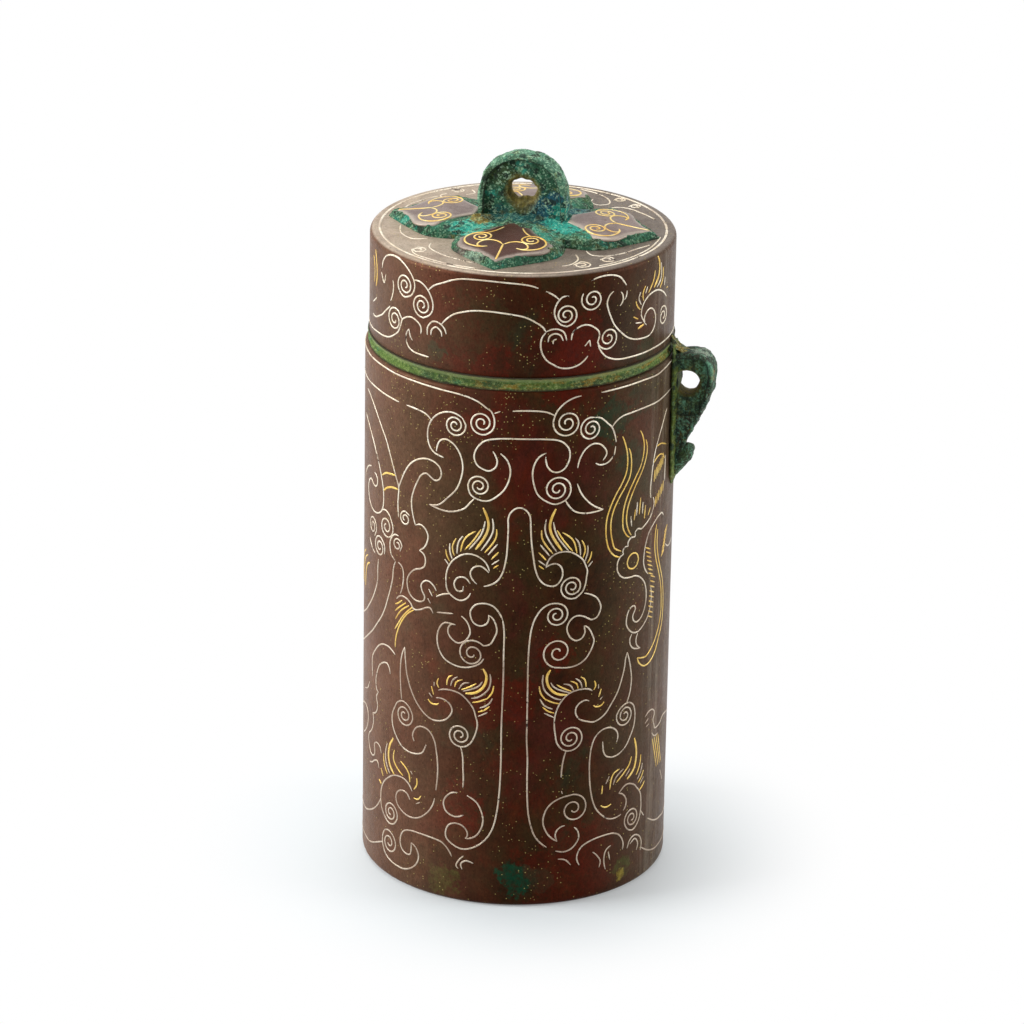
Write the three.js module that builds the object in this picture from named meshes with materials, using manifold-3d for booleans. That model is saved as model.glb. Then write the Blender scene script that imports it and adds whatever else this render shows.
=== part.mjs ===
// Bronze cylindrical lidded box with a quatrefoil loop lid, in millimetres, +Z up.
// The origin is on the vessel's axis at the plane it stands on, and the front faces -Y.
import * as THREE from "three";
import { mergeVertices } from "three/addons/utils/BufferGeometryUtils.js";
import Module from "manifold-3d";

const wasm = await Module();
wasm.setup();

// Vessel
const wallRadius = 28.2;
const wallThickness = 2.2;
const wallHeight = 100;
const footRounding = 1.2;
const lipBevel = 0.5;
const ledgeWidth = 3;
const ledgeHeight = 1.6;
const floorThickness = 3.6;

// Collar between the vessel and the lid. The insets are how far each stands in from the wall.
const bandInset = 0.5;
const bandHeight = 2.4;
const collarThickness = 1.9;
const spigotDepth = 5;
const sleeveHeight = 6;

// Lid
const lidInset = 0.7;
const lidHeight = 18.9;
const lidWall = 1.8;
const lidTopThickness = 2;
const lidEdge = 1;
const lidTurn = -12;

// Quatrefoil on the lid, each size measured from the lid's axis
const baseThickness = 0.9;
const baseMargin = 2.7;
const baseLobe = 18.9;
const baseLobeAngle = 28;
const baseNotch = 13.5;
const plateThickness = 0.4;
const plateInset = 1.2;
const frontNeck = 4;
const sideNeck = 9;
const neckWidth = 4;

// Loop knob
const loopWidth = 17.2;
const loopThickness = 4;
const loopHeight = 13.3;
const loopFootInset = 0.8;
const eyeHeight = 6.1;
const eyeMouth = 6.5;
const eyeThroat = 4.3;
const tangWidth = 7;
const tangThickness = 2.4;

// Side lug: reaches are measured out from the wall, drops down from the lug's top
const lugAzimuth = 78;
const lugWidth = 5;
const lugRise = 0.9;
const lugLength = 24.7;
const lugReach = 7.6;
const lugEyeRadius = 1.75;
const lugEyeReach = 2.9;
const lugEyeDrop = 5.7;
const lugTailReach = 1.9;
const lugTailDrop = 20.1;
const lugBeakReach = 4.3;
const lugBeakDrop = 18.7;
const lugNotchReach = 2.8;
const lugNotchDrop = 17.3;
const lugTangWidth = 3;
const lugTangHeight = 6;
const lugTangDrop = 12;

// Gold and silver inlay
const wireWidth = 0.5;
const inlayThickness = 0.2;
const rimRingInset = 0.4;
const rimRingWidth = 0.45;

// The pattern's points are millimetres on a drum and a lid of these sizes
const patternRadius = 28.2;
const patternHeight = 100;
const patternLidRadius = 27.5;
const patternLidHeight = 18.9;
const patternTip = 24.8;

const clearance = 0.3;
const roundSegments = 72;

const innerRadius = wallRadius - wallThickness;
const bandRadius = wallRadius - bandInset;
const lidRadius = wallRadius - lidInset;
const lidBottom = wallHeight + bandHeight;
const lidTop = lidBottom + lidHeight;
const lidInner = lidRadius - lidWall;
const baseTop = lidTop + baseThickness;
const plateTop = baseTop + plateThickness;
const baseTip = lidRadius - baseMargin;
const rimRingOuter = lidRadius - lidEdge - rimRingInset + rimRingWidth / 2;
const lugTop = wallHeight + lugRise;
const lugBase = lugTop - lugLength;
const lugTangCentre = lugTop - lugTangDrop;
const lidAngle = THREE.MathUtils.degToRad(lidTurn);

const bronze = { color: 0x4b3029, roughness: 0.55, metalness: 0.6 };
const innerBronze = { color: 0x3a2a22, roughness: 0.7, metalness: 0.5 };
const greenCrust = { color: 0x3f8f78, roughness: 0.85, metalness: 0.1 };
const bandGreen = { color: 0x5f8a4f, roughness: 0.8, metalness: 0.15 };
const silver = { color: 0xd9cdbd, roughness: 0.35, metalness: 0.9 };
const gold = { color: 0xe9b93c, roughness: 0.3, metalness: 1 };

const part = new THREE.Group();
const vessel = new THREE.Group();
const lid = new THREE.Group();
part.add(vessel, lid);

function addMesh(group, name, geometry, finish) {
  const mesh = new THREE.Mesh(geometry, new THREE.MeshStandardMaterial(finish));
  mesh.name = name;
  group.add(mesh);
  return mesh;
}

// A turned solid from [radius, height] pairs, listed upwards on its outside.
function turned(profile, segments = roundSegments) {
  const points = profile.map(([r, z]) => new THREE.Vector2(r, z));
  const geometry = new THREE.LatheGeometry(points, segments);
  geometry.rotateX(Math.PI / 2);
  return geometry;
}

// Points of a quarter round between two directions, in degrees.
function arc(centreR, centreZ, radius, from, to, steps) {
  return Array.from({ length: steps + 1 }, (_, i) => {
    const angle = THREE.MathUtils.degToRad(from + ((to - from) * i) / steps);
    return [centreR + radius * Math.cos(angle), centreZ + radius * Math.sin(angle)];
  });
}

function toSolid(geometry) {
  const bare = geometry.clone();
  bare.deleteAttribute("normal");
  bare.deleteAttribute("uv");
  const merged = mergeVertices(bare, 1e-4);
  return new wasm.Manifold(
    new wasm.Mesh({
      numProp: 3,
      vertProperties: new Float32Array(merged.attributes.position.array),
      triVerts: new Uint32Array(merged.index.array),
    }),
  );
}

function toGeometry(solid) {
  const mesh = solid.getMesh();
  const geometry = new THREE.BufferGeometry();
  geometry.setAttribute("position", new THREE.BufferAttribute(mesh.vertProperties, 3));
  geometry.setIndex(new THREE.BufferAttribute(mesh.triVerts, 1));
  geometry.computeVertexNormals();
  return geometry;
}

// A box between two corners.
function block(low, high) {
  const size = high.map((value, i) => value - low[i]);
  const geometry = new THREE.BoxGeometry(...size);
  geometry.translate(...low.map((value, i) => value + size[i] / 2));
  return geometry;
}

// An outline in the X-Z plane given thickness along Y, centred on Y = 0.
function upright(shape, thickness, curveSegments = 12) {
  const geometry = new THREE.ExtrudeGeometry(shape, {
    depth: thickness,
    bevelEnabled: false,
    curveSegments,
  });
  geometry.translate(0, 0, -thickness / 2);
  geometry.rotateX(Math.PI / 2);
  return geometry;
}

// An outline in the X-Y plane standing on a height.
function flat(shape, height, thickness, curveSegments = 8) {
  const geometry = new THREE.ExtrudeGeometry(shape, {
    depth: thickness,
    bevelEnabled: false,
    curveSegments,
  });
  geometry.translate(0, 0, height);
  return geometry;
}

// Vessel wall, with a foot ledge for the floor and a slot for the lug's tang
function makeWall() {
  const tube = toSolid(
    turned([
      [innerRadius - ledgeWidth, 0],
      ...arc(wallRadius - footRounding, footRounding, footRounding, -90, 0, 4),
      [wallRadius, wallHeight - lipBevel],
      [wallRadius - lipBevel, wallHeight],
      [innerRadius, wallHeight],
      [innerRadius, ledgeHeight],
      [innerRadius - ledgeWidth, ledgeHeight],
      [innerRadius - ledgeWidth, 0],
    ]),
  );
  const halfWidth = lugTangWidth / 2 + clearance;
  const halfHeight = lugTangHeight / 2 + clearance;
  const slot = block(
    [innerRadius - 2, -halfWidth, lugTangCentre - halfHeight],
    [wallRadius + 2, halfWidth, lugTangCentre + halfHeight],
  );
  slot.rotateZ(THREE.MathUtils.degToRad(lugAzimuth - 90));
  return toGeometry(tube.subtract(toSolid(slot)));
}

function makeFloor() {
  const upperRadius = innerRadius - clearance;
  const lowerRadius = innerRadius - ledgeWidth - clearance;
  return turned([
    [0, 0],
    [lowerRadius, 0],
    [lowerRadius, ledgeHeight],
    [upperRadius, ledgeHeight],
    [upperRadius, floorThickness],
    [0, floorThickness],
  ]);
}

function makeCollar() {
  const spigotRadius = innerRadius - clearance;
  const sleeveRadius = lidInner - clearance;
  const bore = spigotRadius - collarThickness;
  return turned([
    [bore, wallHeight - spigotDepth],
    [spigotRadius, wallHeight - spigotDepth],
    [spigotRadius, wallHeight],
    [bandRadius, wallHeight],
    [bandRadius, lidBottom],
    [sleeveRadius, lidBottom],
    [sleeveRadius, lidBottom + sleeveHeight],
    [bore, lidBottom + sleeveHeight],
    [bore, wallHeight - spigotDepth],
  ]);
}

// Side lug: an eye at the top, a straight taper down to a beak, and a tang into the wall
function makeLug() {
  const back = wallRadius + clearance;
  const outer = wallRadius + lugReach;
  const middle = (back + outer) / 2;
  const eyeLevel = lugTop - lugEyeDrop;
  const shape = new THREE.Shape();
  shape.moveTo(back, lugBase);
  shape.lineTo(wallRadius + lugTailReach, lugTop - lugTailDrop);
  shape.lineTo(wallRadius + lugBeakReach, lugTop - lugBeakDrop);
  shape.quadraticCurveTo(
    wallRadius + lugNotchReach,
    (2 * lugTop - lugBeakDrop - lugNotchDrop) / 2,
    wallRadius + lugNotchReach,
    lugTop - lugNotchDrop,
  );
  shape.lineTo(outer - (outer - middle) / 4, eyeLevel - lugEyeRadius);
  shape.quadraticCurveTo(outer + clearance, eyeLevel, outer, eyeLevel + lugEyeRadius);
  shape.quadraticCurveTo(outer - clearance, lugTop, middle, lugTop);
  shape.quadraticCurveTo(back + clearance, lugTop, back, lugTop - lugEyeRadius);
  shape.closePath();
  const eye = new THREE.Path();
  eye.absarc(wallRadius + lugEyeReach, eyeLevel, lugEyeRadius, 0, 2 * Math.PI);
  shape.holes.push(eye);
  const body = toSolid(upright(shape, lugWidth));
  const tang = block(
    [innerRadius, -lugTangWidth / 2, lugTangCentre - lugTangHeight / 2],
    [back + (lugNotchReach - clearance) / 2, lugTangWidth / 2, lugTangCentre + lugTangHeight / 2],
  );
  return toGeometry(body.add(toSolid(tang)));
}

function makeLidShell() {
  const shell = toSolid(
    turned([
      [lidInner, lidBottom],
      [lidRadius, lidBottom],
      ...arc(lidRadius - lidEdge, lidTop - lidEdge, lidEdge, 0, 90, 4),
      [0, lidTop],
      [0, lidTop - lidTopThickness],
      [lidInner, lidTop - lidTopThickness],
      [lidInner, lidBottom],
    ]),
  );
  return toGeometry(shell.subtract(toSolid(tangSlot(lidTop - 2 * lidTopThickness, lidTop + 1))));
}

// The slot that the loop's tang passes through.
function tangSlot(low, high) {
  const halfWidth = tangWidth / 2 + clearance;
  const halfThickness = tangThickness / 2 + clearance;
  return block([-halfWidth, -halfThickness, low], [halfWidth, halfThickness, high]);
}

// One side of a petal, from its notch out to its tip, turned to the petal's angle.
function petalOutline() {
  const shape = new THREE.Shape();
  const at = (radius, degrees) => {
    const angle = THREE.MathUtils.degToRad(degrees);
    return [radius * Math.cos(angle), radius * Math.sin(angle)];
  };
  shape.moveTo(...at(baseNotch, -45));
  for (let petal = 0; petal < 4; petal += 1) {
    const turn = petal * 90;
    shape.quadraticCurveTo(...at(baseLobe - 1.2, turn - 38), ...at(baseLobe, turn - baseLobeAngle));
    shape.quadraticCurveTo(...at(baseLobe + 2.4, turn - 14), ...at(baseTip, turn));
    shape.quadraticCurveTo(...at(baseLobe + 2.4, turn + 14), ...at(baseLobe, turn + baseLobeAngle));
    shape.quadraticCurveTo(...at(baseLobe - 1.2, turn + 38), ...at(baseNotch, turn + 45));
  }
  return shape;
}

function makeBase() {
  const plate = toSolid(flat(petalOutline(), lidTop, baseThickness));
  return toGeometry(plate.subtract(toSolid(tangSlot(lidTop - 1, baseTop + 1))));
}

// A spade-shaped petal plate that points along +X.
function makePlate(neck) {
  const tip = baseTip - plateInset;
  const lobeAngle = THREE.MathUtils.degToRad(baseLobeAngle);
  const lobeRadius = baseLobe - plateInset;
  const lobe = [lobeRadius * Math.cos(lobeAngle), lobeRadius * Math.sin(lobeAngle)];
  const half = neckWidth / 2;
  const shape = new THREE.Shape();
  shape.moveTo(neck, -half);
  shape.quadraticCurveTo(lobe[0] - 4, -lobe[1] + 4, lobe[0] - 1.3, -lobe[1] - 0.1);
  shape.quadraticCurveTo(lobe[0] + 2.3, -lobe[1] - 0.5, lobe[0] + 3.4, -lobe[1] + 2.2);
  shape.quadraticCurveTo(lobe[0] + 5, -2.2, tip, 0);
  shape.quadraticCurveTo(lobe[0] + 5, 2.2, lobe[0] + 3.4, lobe[1] - 2.2);
  shape.quadraticCurveTo(lobe[0] + 2.3, lobe[1] + 0.5, lobe[0] - 1.3, lobe[1] + 0.1);
  shape.quadraticCurveTo(lobe[0] - 4, lobe[1] - 4, neck, half);
  shape.closePath();
  return flat(shape, baseTop, plateThickness);
}

// The D-shaped loop, its hourglass eye and its tang
function makeLoop() {
  const half = loopWidth / 2;
  const shape = new THREE.Shape();
  shape.moveTo(-half + loopFootInset, 0);
  shape.lineTo(half - loopFootInset, 0);
  shape.quadraticCurveTo(half + 0.3, loopHeight * 0.45, half * 0.82, loopHeight * 0.72);
  shape.quadraticCurveTo(half * 0.5, loopHeight, 0, loopHeight);
  shape.quadraticCurveTo(-half * 0.5, loopHeight, -half * 0.82, loopHeight * 0.72);
  shape.quadraticCurveTo(-half - 0.3, loopHeight * 0.45, -half + loopFootInset, 0);
  const body = upright(shape, loopThickness, 8);
  body.translate(0, 0, baseTop);
  const reach = loopThickness / 2;
  const eye = turned(
    [
      [0, -reach - 1],
      [eyeMouth / 2 + 0.5, -reach - 1],
      [eyeMouth / 2, -reach],
      [eyeThroat / 2, 0],
      [eyeMouth / 2, reach],
      [eyeMouth / 2 + 0.5, reach + 1],
      [0, reach + 1],
    ],
    24,
  );
  eye.rotateX(Math.PI / 2);
  eye.translate(0, 0, baseTop + eyeHeight);
  const tang = block(
    [-tangWidth / 2, -tangThickness / 2, lidTop - lidTopThickness],
    [tangWidth / 2, tangThickness / 2, baseTop + 1],
  );
  return toGeometry(toSolid(body).add(toSolid(tang)).subtract(toSolid(eye)));
}

function makeRimRing() {
  const inner = rimRingOuter - rimRingWidth;
  const top = lidTop + inlayThickness;
  return turned([
    [inner, lidTop],
    [rimRingOuter, lidTop],
    [rimRingOuter, top],
    [inner, top],
    [inner, lidTop],
  ]);
}

// A thin strip along a smooth line. Its points are [across, up] pairs, and place(across, up, out)
// puts each of its corners on the surface that carries it, between two levels above that surface.
function strip(line, place, low, high) {
  const middle = new THREE.SplineCurve(line.map(([across, up]) => new THREE.Vector2(across, up)));
  const steps = Math.round(1.6 * (line.length - 1));
  const positions = [];
  const faces = [];
  for (let i = 0; i <= steps; i += 1) {
    const at = middle.getPoint(i / steps);
    const along = middle.getTangent(i / steps);
    const side = new THREE.Vector2(-along.y, along.x).multiplyScalar(wireWidth / 2);
    positions.push(...place(at.x + side.x, at.y + side.y, low));
    positions.push(...place(at.x - side.x, at.y - side.y, low));
    positions.push(...place(at.x - side.x, at.y - side.y, high));
    positions.push(...place(at.x + side.x, at.y + side.y, high));
  }
  for (let i = 0; i < steps; i += 1) {
    for (let corner = 0; corner < 4; corner += 1) {
      const a = 4 * i + corner;
      const b = 4 * i + ((corner + 1) % 4);
      faces.push(a, a + 4, b + 4, a, b + 4, b);
    }
  }
  const last = 4 * steps;
  faces.push(0, 1, 2, 0, 2, 3, last, last + 2, last + 1, last, last + 3, last + 2);
  const geometry = new THREE.BufferGeometry();
  geometry.setAttribute("position", new THREE.Float32BufferAttribute(positions, 3));
  geometry.setIndex(faces);
  geometry.computeVertexNormals();
  return geometry;
}

function roundDrum(radius, angle, height) {
  return [radius * Math.sin(angle), -radius * Math.cos(angle), height];
}

// Across is measured round the vessel to the right of its front, and up from its foot.
function onVessel(turn) {
  return (across, up, out) =>
    roundDrum(wallRadius + out, across / patternRadius + turn, (up * wallHeight) / patternHeight);
}

// The same round the lid, with up measured from the lid's lower edge.
function onLid(turn) {
  return (across, up, out) =>
    roundDrum(
      lidRadius + out,
      across / patternLidRadius - lidAngle + turn,
      lidBottom + (up * lidHeight) / patternLidHeight,
    );
}

const cloudArch = [
  [5.1, 66.8], [5.9, 67.3], [7, 67.4], [7.9, 66.6], [8.2, 65.3], [7.7, 64], [6.8, 63.2], [5.8, 63.2],
  [4.6, 63.8], [3.7, 65], [3.1, 67], [2.6, 70], [2.3, 73.5], [2.1, 76.3], [1.4, 77.8], [0.2, 78.3],
  [-0.9, 77.9], [-1.6, 76.6], [-1.8, 74], [-1.9, 70], [-2.2, 67.5], [-2.9, 65.1], [-4, 63.7],
  [-5.6, 63], [-7.3, 63.2], [-8.3, 64.3], [-8.5, 65.4], [-7.9, 66.3], [-6.6, 66.7],
];
const cloudLineRight = [
  [7.4, 59.7], [6, 59.7], [4.7, 59], [3.6, 57.5], [2.8, 55.5], [2.4, 52.6], [2.2, 48.6], [2.2, 42.5],
  [2.2, 36], [2.4, 29.4], [2.5, 23.5], [2.8, 18.5], [3.5, 15], [5, 12.8], [6.8, 11.4], [9, 10.6],
  [10.8, 10.9], [12, 12], [12.3, 13.5], [11.5, 15], [9.9, 15.8],
];
const cloudLineLeft = [
  [-8.3, 58.1], [-7.4, 59.2], [-5.8, 59.6], [-4.2, 59.2], [-3, 57.9], [-2.4, 56], [-2.2, 52], [-2.2, 46],
  [-2.3, 40], [-2.4, 34], [-2.4, 28.1], [-2.6, 22.8], [-3, 18.9], [-3.8, 15.4], [-5.2, 13], [-7.2, 11.4],
  [-9.4, 10.8], [-11.3, 11.4], [-12.6, 12.7], [-12.4, 14.6], [-10.9, 15.7], [-9.4, 15.4],
];
const shoulderScroll = [
  [-4.4, 88.2], [-3.9, 86.9], [-4.3, 85.6], [-5.4, 85], [-6.7, 85.3], [-7.8, 86.3], [-8.1, 87.8],
  [-7.5, 89.4], [-6.1, 90.6], [-4, 91.2], [0, 91.3], [4.5, 91.2], [7, 90.8], [8.6, 89.6], [9.1, 88.1],
  [8.8, 86.4], [7.7, 85.1], [6.2, 84.9], [5.1, 85.9], [4.75, 87.3],
];
const phoenixCrest = [
  [19.9, 89.6], [20.8, 87.3], [21.25, 84.2], [20.6, 81.7], [19.2, 79.5], [17.6, 77], [16.8, 74.6],
  [16.6, 72], [17, 69.6], [18.1, 67.6], [20, 66.5],
];
const phoenixNeck = [
  [30.7, 69.7], [30.2, 67.4], [30.2, 65], [30.8, 62.6], [32.2, 59.7], [33.3, 56.8], [33.75, 54],
  [33.6, 51], [32.7, 48.8], [31, 46.7], [28.9, 45.2], [26.8, 44.9],
];
const lidUpperLine = [
  [-17.8, 14], [-16.4, 15.3], [-14, 16.5], [-11, 17.4], [-8, 17.7], [-4, 17.7], [0, 17.4], [3, 16.6],
  [5, 15.6], [6.5, 14.5],
];
const lidLowerLine = [
  [-14.7, 8.5], [-13.5, 9.9], [-11.4, 11.2], [-9, 11.9], [-5.4, 12.1], [-2, 11.8], [1, 11.1], [3.1, 10],
  [4.3, 8.6],
];

// One petal's scroll, with x out along the petal: a stem, and a hook and a curl on each side of it
const scrollStem = [[22.7, 0], [20.4, 0], [18.4, 0], [16.6, 0]];
const scrollHook = [
  [16.9, 0], [16, 0.7], [15.4, 1.9], [15.6, 3.3], [16.5, 4.2], [17.5, 4.4], [18.2, 4],
];
const scrollCurl = [
  [18, 2.7], [18.25, 4], [18, 5.2], [17.2, 6.4], [15.8, 7.1], [14.3, 6.9], [13.2, 6], [12.8, 4.8],
  [13.4, 3.8], [14.5, 4],
];

function makePetalScroll() {
  const onPlate = (along, across, height) => [
    (along * baseTip) / patternTip,
    (across * baseTip) / patternTip,
    height,
  ];
  const mirror = (line) => line.map(([along, across]) => [along, -across]);
  const lines = [scrollStem, scrollHook, scrollCurl, mirror(scrollHook), mirror(scrollCurl)];
  const top = plateTop + inlayThickness;
  const pieces = lines.map((line) => toSolid(strip(line, onPlate, plateTop, top)));
  return toGeometry(pieces.reduce((joined, piece) => joined.add(piece)));
}

addMesh(vessel, "vessel_wall", makeWall(), bronze);
addMesh(vessel, "vessel_floor", makeFloor(), innerBronze);
addMesh(vessel, "mouth_collar", makeCollar(), bandGreen);
const lug = addMesh(vessel, "side_lug", makeLug(), greenCrust);
lug.rotation.z = THREE.MathUtils.degToRad(lugAzimuth - 90);

lid.rotation.z = lidAngle;
addMesh(lid, "lid_shell", makeLidShell(), bronze);
addMesh(lid, "quatrefoil_base", makeBase(), greenCrust);
const petals = [
  ["front", -90, frontNeck],
  ["right", 0, sideNeck],
  ["back", 90, frontNeck],
  ["left", 180, sideNeck],
];
for (const [side, degrees, neck] of petals) {
  const plate = addMesh(lid, `petal_plate_${side}`, makePlate(neck), bronze);
  plate.rotation.z = THREE.MathUtils.degToRad(degrees);
  const scroll = addMesh(lid, `petal_scroll_${side}`, makePetalScroll(), gold);
  scroll.rotation.z = plate.rotation.z;
}
addMesh(lid, "lid_loop", makeLoop(), greenCrust);
addMesh(lid, "lid_rim_ring", makeRimRing(), silver);

// The pattern is laid once at the front and again at the back.
const inlayTop = clearance + inlayThickness;
for (const [side, turn] of [["front", 0], ["back", Math.PI]]) {
  const vesselLines = [
    ["cloud_arch", cloudArch, silver],
    ["cloud_line_right", cloudLineRight, silver],
    ["cloud_line_left", cloudLineLeft, silver],
    ["shoulder_scroll", shoulderScroll, silver],
    ["phoenix_crest", phoenixCrest, gold],
    ["phoenix_neck", phoenixNeck, gold],
  ];
  for (const [name, line, finish] of vesselLines) {
    addMesh(vessel, `${name}_${side}`, strip(line, onVessel(turn), clearance, inlayTop), finish);
  }
  const lidLines = [["lid_upper_line", lidUpperLine], ["lid_lower_line", lidLowerLine]];
  for (const [name, line] of lidLines) {
    addMesh(lid, `${name}_${side}`, strip(line, onLid(turn), clearance, inlayTop), silver);
  }
}

export default part;
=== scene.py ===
import math

import bmesh
import bpy
import numpy as np
from mathutils import Matrix, Vector


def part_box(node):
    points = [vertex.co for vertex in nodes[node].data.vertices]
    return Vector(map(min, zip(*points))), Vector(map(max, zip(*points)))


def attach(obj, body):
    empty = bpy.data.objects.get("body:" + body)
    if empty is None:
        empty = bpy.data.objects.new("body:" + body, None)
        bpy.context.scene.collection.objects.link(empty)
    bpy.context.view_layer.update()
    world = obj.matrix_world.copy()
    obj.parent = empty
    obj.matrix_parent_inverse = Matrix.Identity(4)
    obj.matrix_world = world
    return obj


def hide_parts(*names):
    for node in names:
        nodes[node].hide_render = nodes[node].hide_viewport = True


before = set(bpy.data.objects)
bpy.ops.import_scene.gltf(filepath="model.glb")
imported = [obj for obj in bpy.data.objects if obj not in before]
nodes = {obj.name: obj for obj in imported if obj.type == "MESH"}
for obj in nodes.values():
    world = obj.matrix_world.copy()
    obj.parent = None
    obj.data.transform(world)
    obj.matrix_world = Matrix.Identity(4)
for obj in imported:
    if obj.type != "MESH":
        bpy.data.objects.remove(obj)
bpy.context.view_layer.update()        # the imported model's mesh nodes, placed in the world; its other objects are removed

millimetre = 0.001


# Sizes that the pieces share, in millimetres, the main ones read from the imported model

def boxOf(name):
    low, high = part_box(name)
    return np.array(low) / millimetre, np.array(high) / millimetre


# The gap left round pieces that slide or are let in, and the drum's wall
clearance = 0.3
drumWall = 2.2
shared = {
    "bodyRadius": float(boxOf("vessel_floor")[1][0]) + clearance + drumWall,
    "bodyTop": float(boxOf("vessel_wall")[1][2]),
    "lidBottom": float(boxOf("lid_shell")[0][2]),
    "lidTop": float(boxOf("lid_shell")[1][2]),
    "lidRadius": float(boxOf("lid_shell")[1][0]),
    "baseTop": float(boxOf("quatrefoil_base")[1][2]),
    "plateTop": float(boxOf("petal_plate_front")[1][2]),
    "lidTurn": math.radians(-12),  # the lid sits turned against the body's pattern
}
print("frame read:", {k: round(v, 2) for k, v in shared.items()})


# Shader maths: a socket that takes part in Python expressions

class Socket:
    def __init__(self, tree, socket):
        self.tree = tree
        self.socket = socket

    def node(self, kind, settings=None, inputs=None, output=0):
        # Any node: its settings first, then the values or links of its sockets
        made = self.tree.nodes.new(kind)
        for key, value in (settings or {}).items():
            if key == "stops":
                fillRamp(made.color_ramp, value)
            else:
                setattr(made, key, value)
        for key, value in (inputs or {}).items():
            if isinstance(value, Socket):
                self.tree.links.new(value.socket, made.inputs[key])
            else:
                made.inputs[key].default_value = value
        return Socket(self.tree, made.outputs[output])

    def math(self, operation, *values):
        return self.node("ShaderNodeMath", {"operation": operation}, dict(enumerate(values)))

    def __add__(self, other):
        return self.math("ADD", self, other)

    def __radd__(self, other):
        return self.math("ADD", other, self)

    def __sub__(self, other):
        return self.math("SUBTRACT", self, other)

    def __rsub__(self, other):
        return self.math("SUBTRACT", other, self)

    def __mul__(self, other):
        return self.math("MULTIPLY", self, other)

    def __rmul__(self, other):
        return self.math("MULTIPLY", other, self)

    def __truediv__(self, other):
        return self.math("DIVIDE", self, other)

    def least(self, other):
        return self.math("MINIMUM", self, other)

    def most(self, other):
        return self.math("MAXIMUM", self, other)

    def step(self, low, high):
        # 0 below low, 1 above high, smooth between
        return self.node("ShaderNodeMapRange", {"interpolation_type": "SMOOTHSTEP"},
                         {0: self, 1: low, 2: high})

    def axis(self, name):
        return self.node("ShaderNodeSeparateXYZ", None, {0: self}, "XYZ".index(name))

    def stretched(self, scale=(1, 1, 1), turn=(0, 0, 0)):
        return self.node("ShaderNodeMapping", None, {"Vector": self, "Scale": scale, "Rotation": turn})

    def noise(self, size, detail=5.0, rough=0.6, warp=0.0):
        # Noise whose patches measure about size millimetres
        return self.node("ShaderNodeTexNoise", None,
                         {"Vector": self, "Scale": 1 / (size * millimetre), "Detail": detail,
                          "Roughness": rough, "Distortion": warp})

    def cells(self, size, feature="F1", output=0):
        return self.node("ShaderNodeTexVoronoi", {"feature": feature},
                         {"Vector": self, "Scale": 1 / (size * millimetre)}, output)

    # 1 inside a ragged patch about a centre, 0 outside it, in millimetres
    def patch(self, centre, radius, ragged=3.0):
        away = self.node("ShaderNodeVectorMath", {"operation": "DISTANCE"},
                         {0: self, 1: tuple(c * millimetre for c in centre)}, 1)
        edge = (self.noise(radius * 0.7, 9, 0.75) - 0.5) * ragged
        return 1 - (away / (radius * millimetre) + edge).step(0.72, 0.92)

    def scaled(self, amount):
        # This colour brighter or darker by a factor
        return self.node("ShaderNodeVectorMath", {"operation": "SCALE"}, {0: self, "Scale": amount})

    def tint(self, mask, other):
        # This colour turned to another where the mask is 1
        return self.node("ShaderNodeMix", {"data_type": "RGBA"}, {0: mask, 6: self, 7: other}, 2)


def fillRamp(ramp, stops):
    while len(ramp.elements) < len(stops):
        ramp.elements.new(0.5)
    for element, (place, colour) in zip(ramp.elements, stops):
        element.position = place
        element.color = colour


# A display colour written as six hex digits, made linear for the shader
def rgb(hexColour):
    parts = [int(hexColour[i:i + 2], 16) / 255 for i in (0, 2, 4)]
    return tuple(((c + 0.055) / 1.055) ** 2.4 if c > 0.04045 else c / 12.92 for c in parts) + (1,)


# A material, its shader, and its object coordinates as a Socket
def newMaterial(name):
    material = bpy.data.materials.new(name)
    material.use_nodes = True
    tree = material.node_tree
    place = tree.nodes.new("ShaderNodeTexCoord")
    return material, tree.nodes["Principled BSDF"], Socket(tree, place.outputs["Object"])


def feed(value, shader, name):
    value.tree.links.new(value.socket, shader.inputs[name])


# A fixed colour as a Socket, so that tint can change it
def plainColour(place, colour):
    return place.node("ShaderNodeMix", {"data_type": "RGBA"}, {0: 0.0, 6: colour, 7: colour}, 2)


def bump(height, shader, depth, strength=1.0):
    feed(height.node("ShaderNodeBump", None,
                     {"Height": height, "Distance": depth * millimetre, "Strength": strength}),
         shader, "Normal")


# Finishes. Each dictionary holds the colours and roughness that a user would change.

bronzeFinish = {
    "brown": rgb("39190a"),
    "umber": rgb("1f1408"),
    "olive": rgb("342914"),
    "red": rgb("521508"),
    "mauve": rgb("4a1c16"),
    "ruddy": rgb("4f2912"),
    "forest": rgb("1c3220"),
    # Painted sheen: the next two colours paint the drum's left and right sides paler.
    "leftSheen": rgb("7c5b47"),
    "rightSheen": rgb("655240"),
    "speck": rgb("c2b06c"),
    "green": rgb("0f3d29"),
    "moss": rgb("434a1c"),
    # A painted highlight, in pale streaks near the right edge.
    "highlightStreak": rgb("9a8c7a"),
    "ochre": rgb("a08c34"),
    # The lid top's grey: worn metal with painted sheen, painted lighter at the left and darker at the right.
    "topMetalLitLeft": rgb("bcab97"),
    "topMetalShadedRight": rgb("7d7369"),
    "roughness": 0.36,
    "metallic": 0.22,
    "specular": 0.04,
}


# A point on the drum, from its arc length to the right of the front and its height
def sidePoint(radius, u, z):
    return (radius * math.sin(u / radius), -radius * math.cos(u / radius), z)
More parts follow.
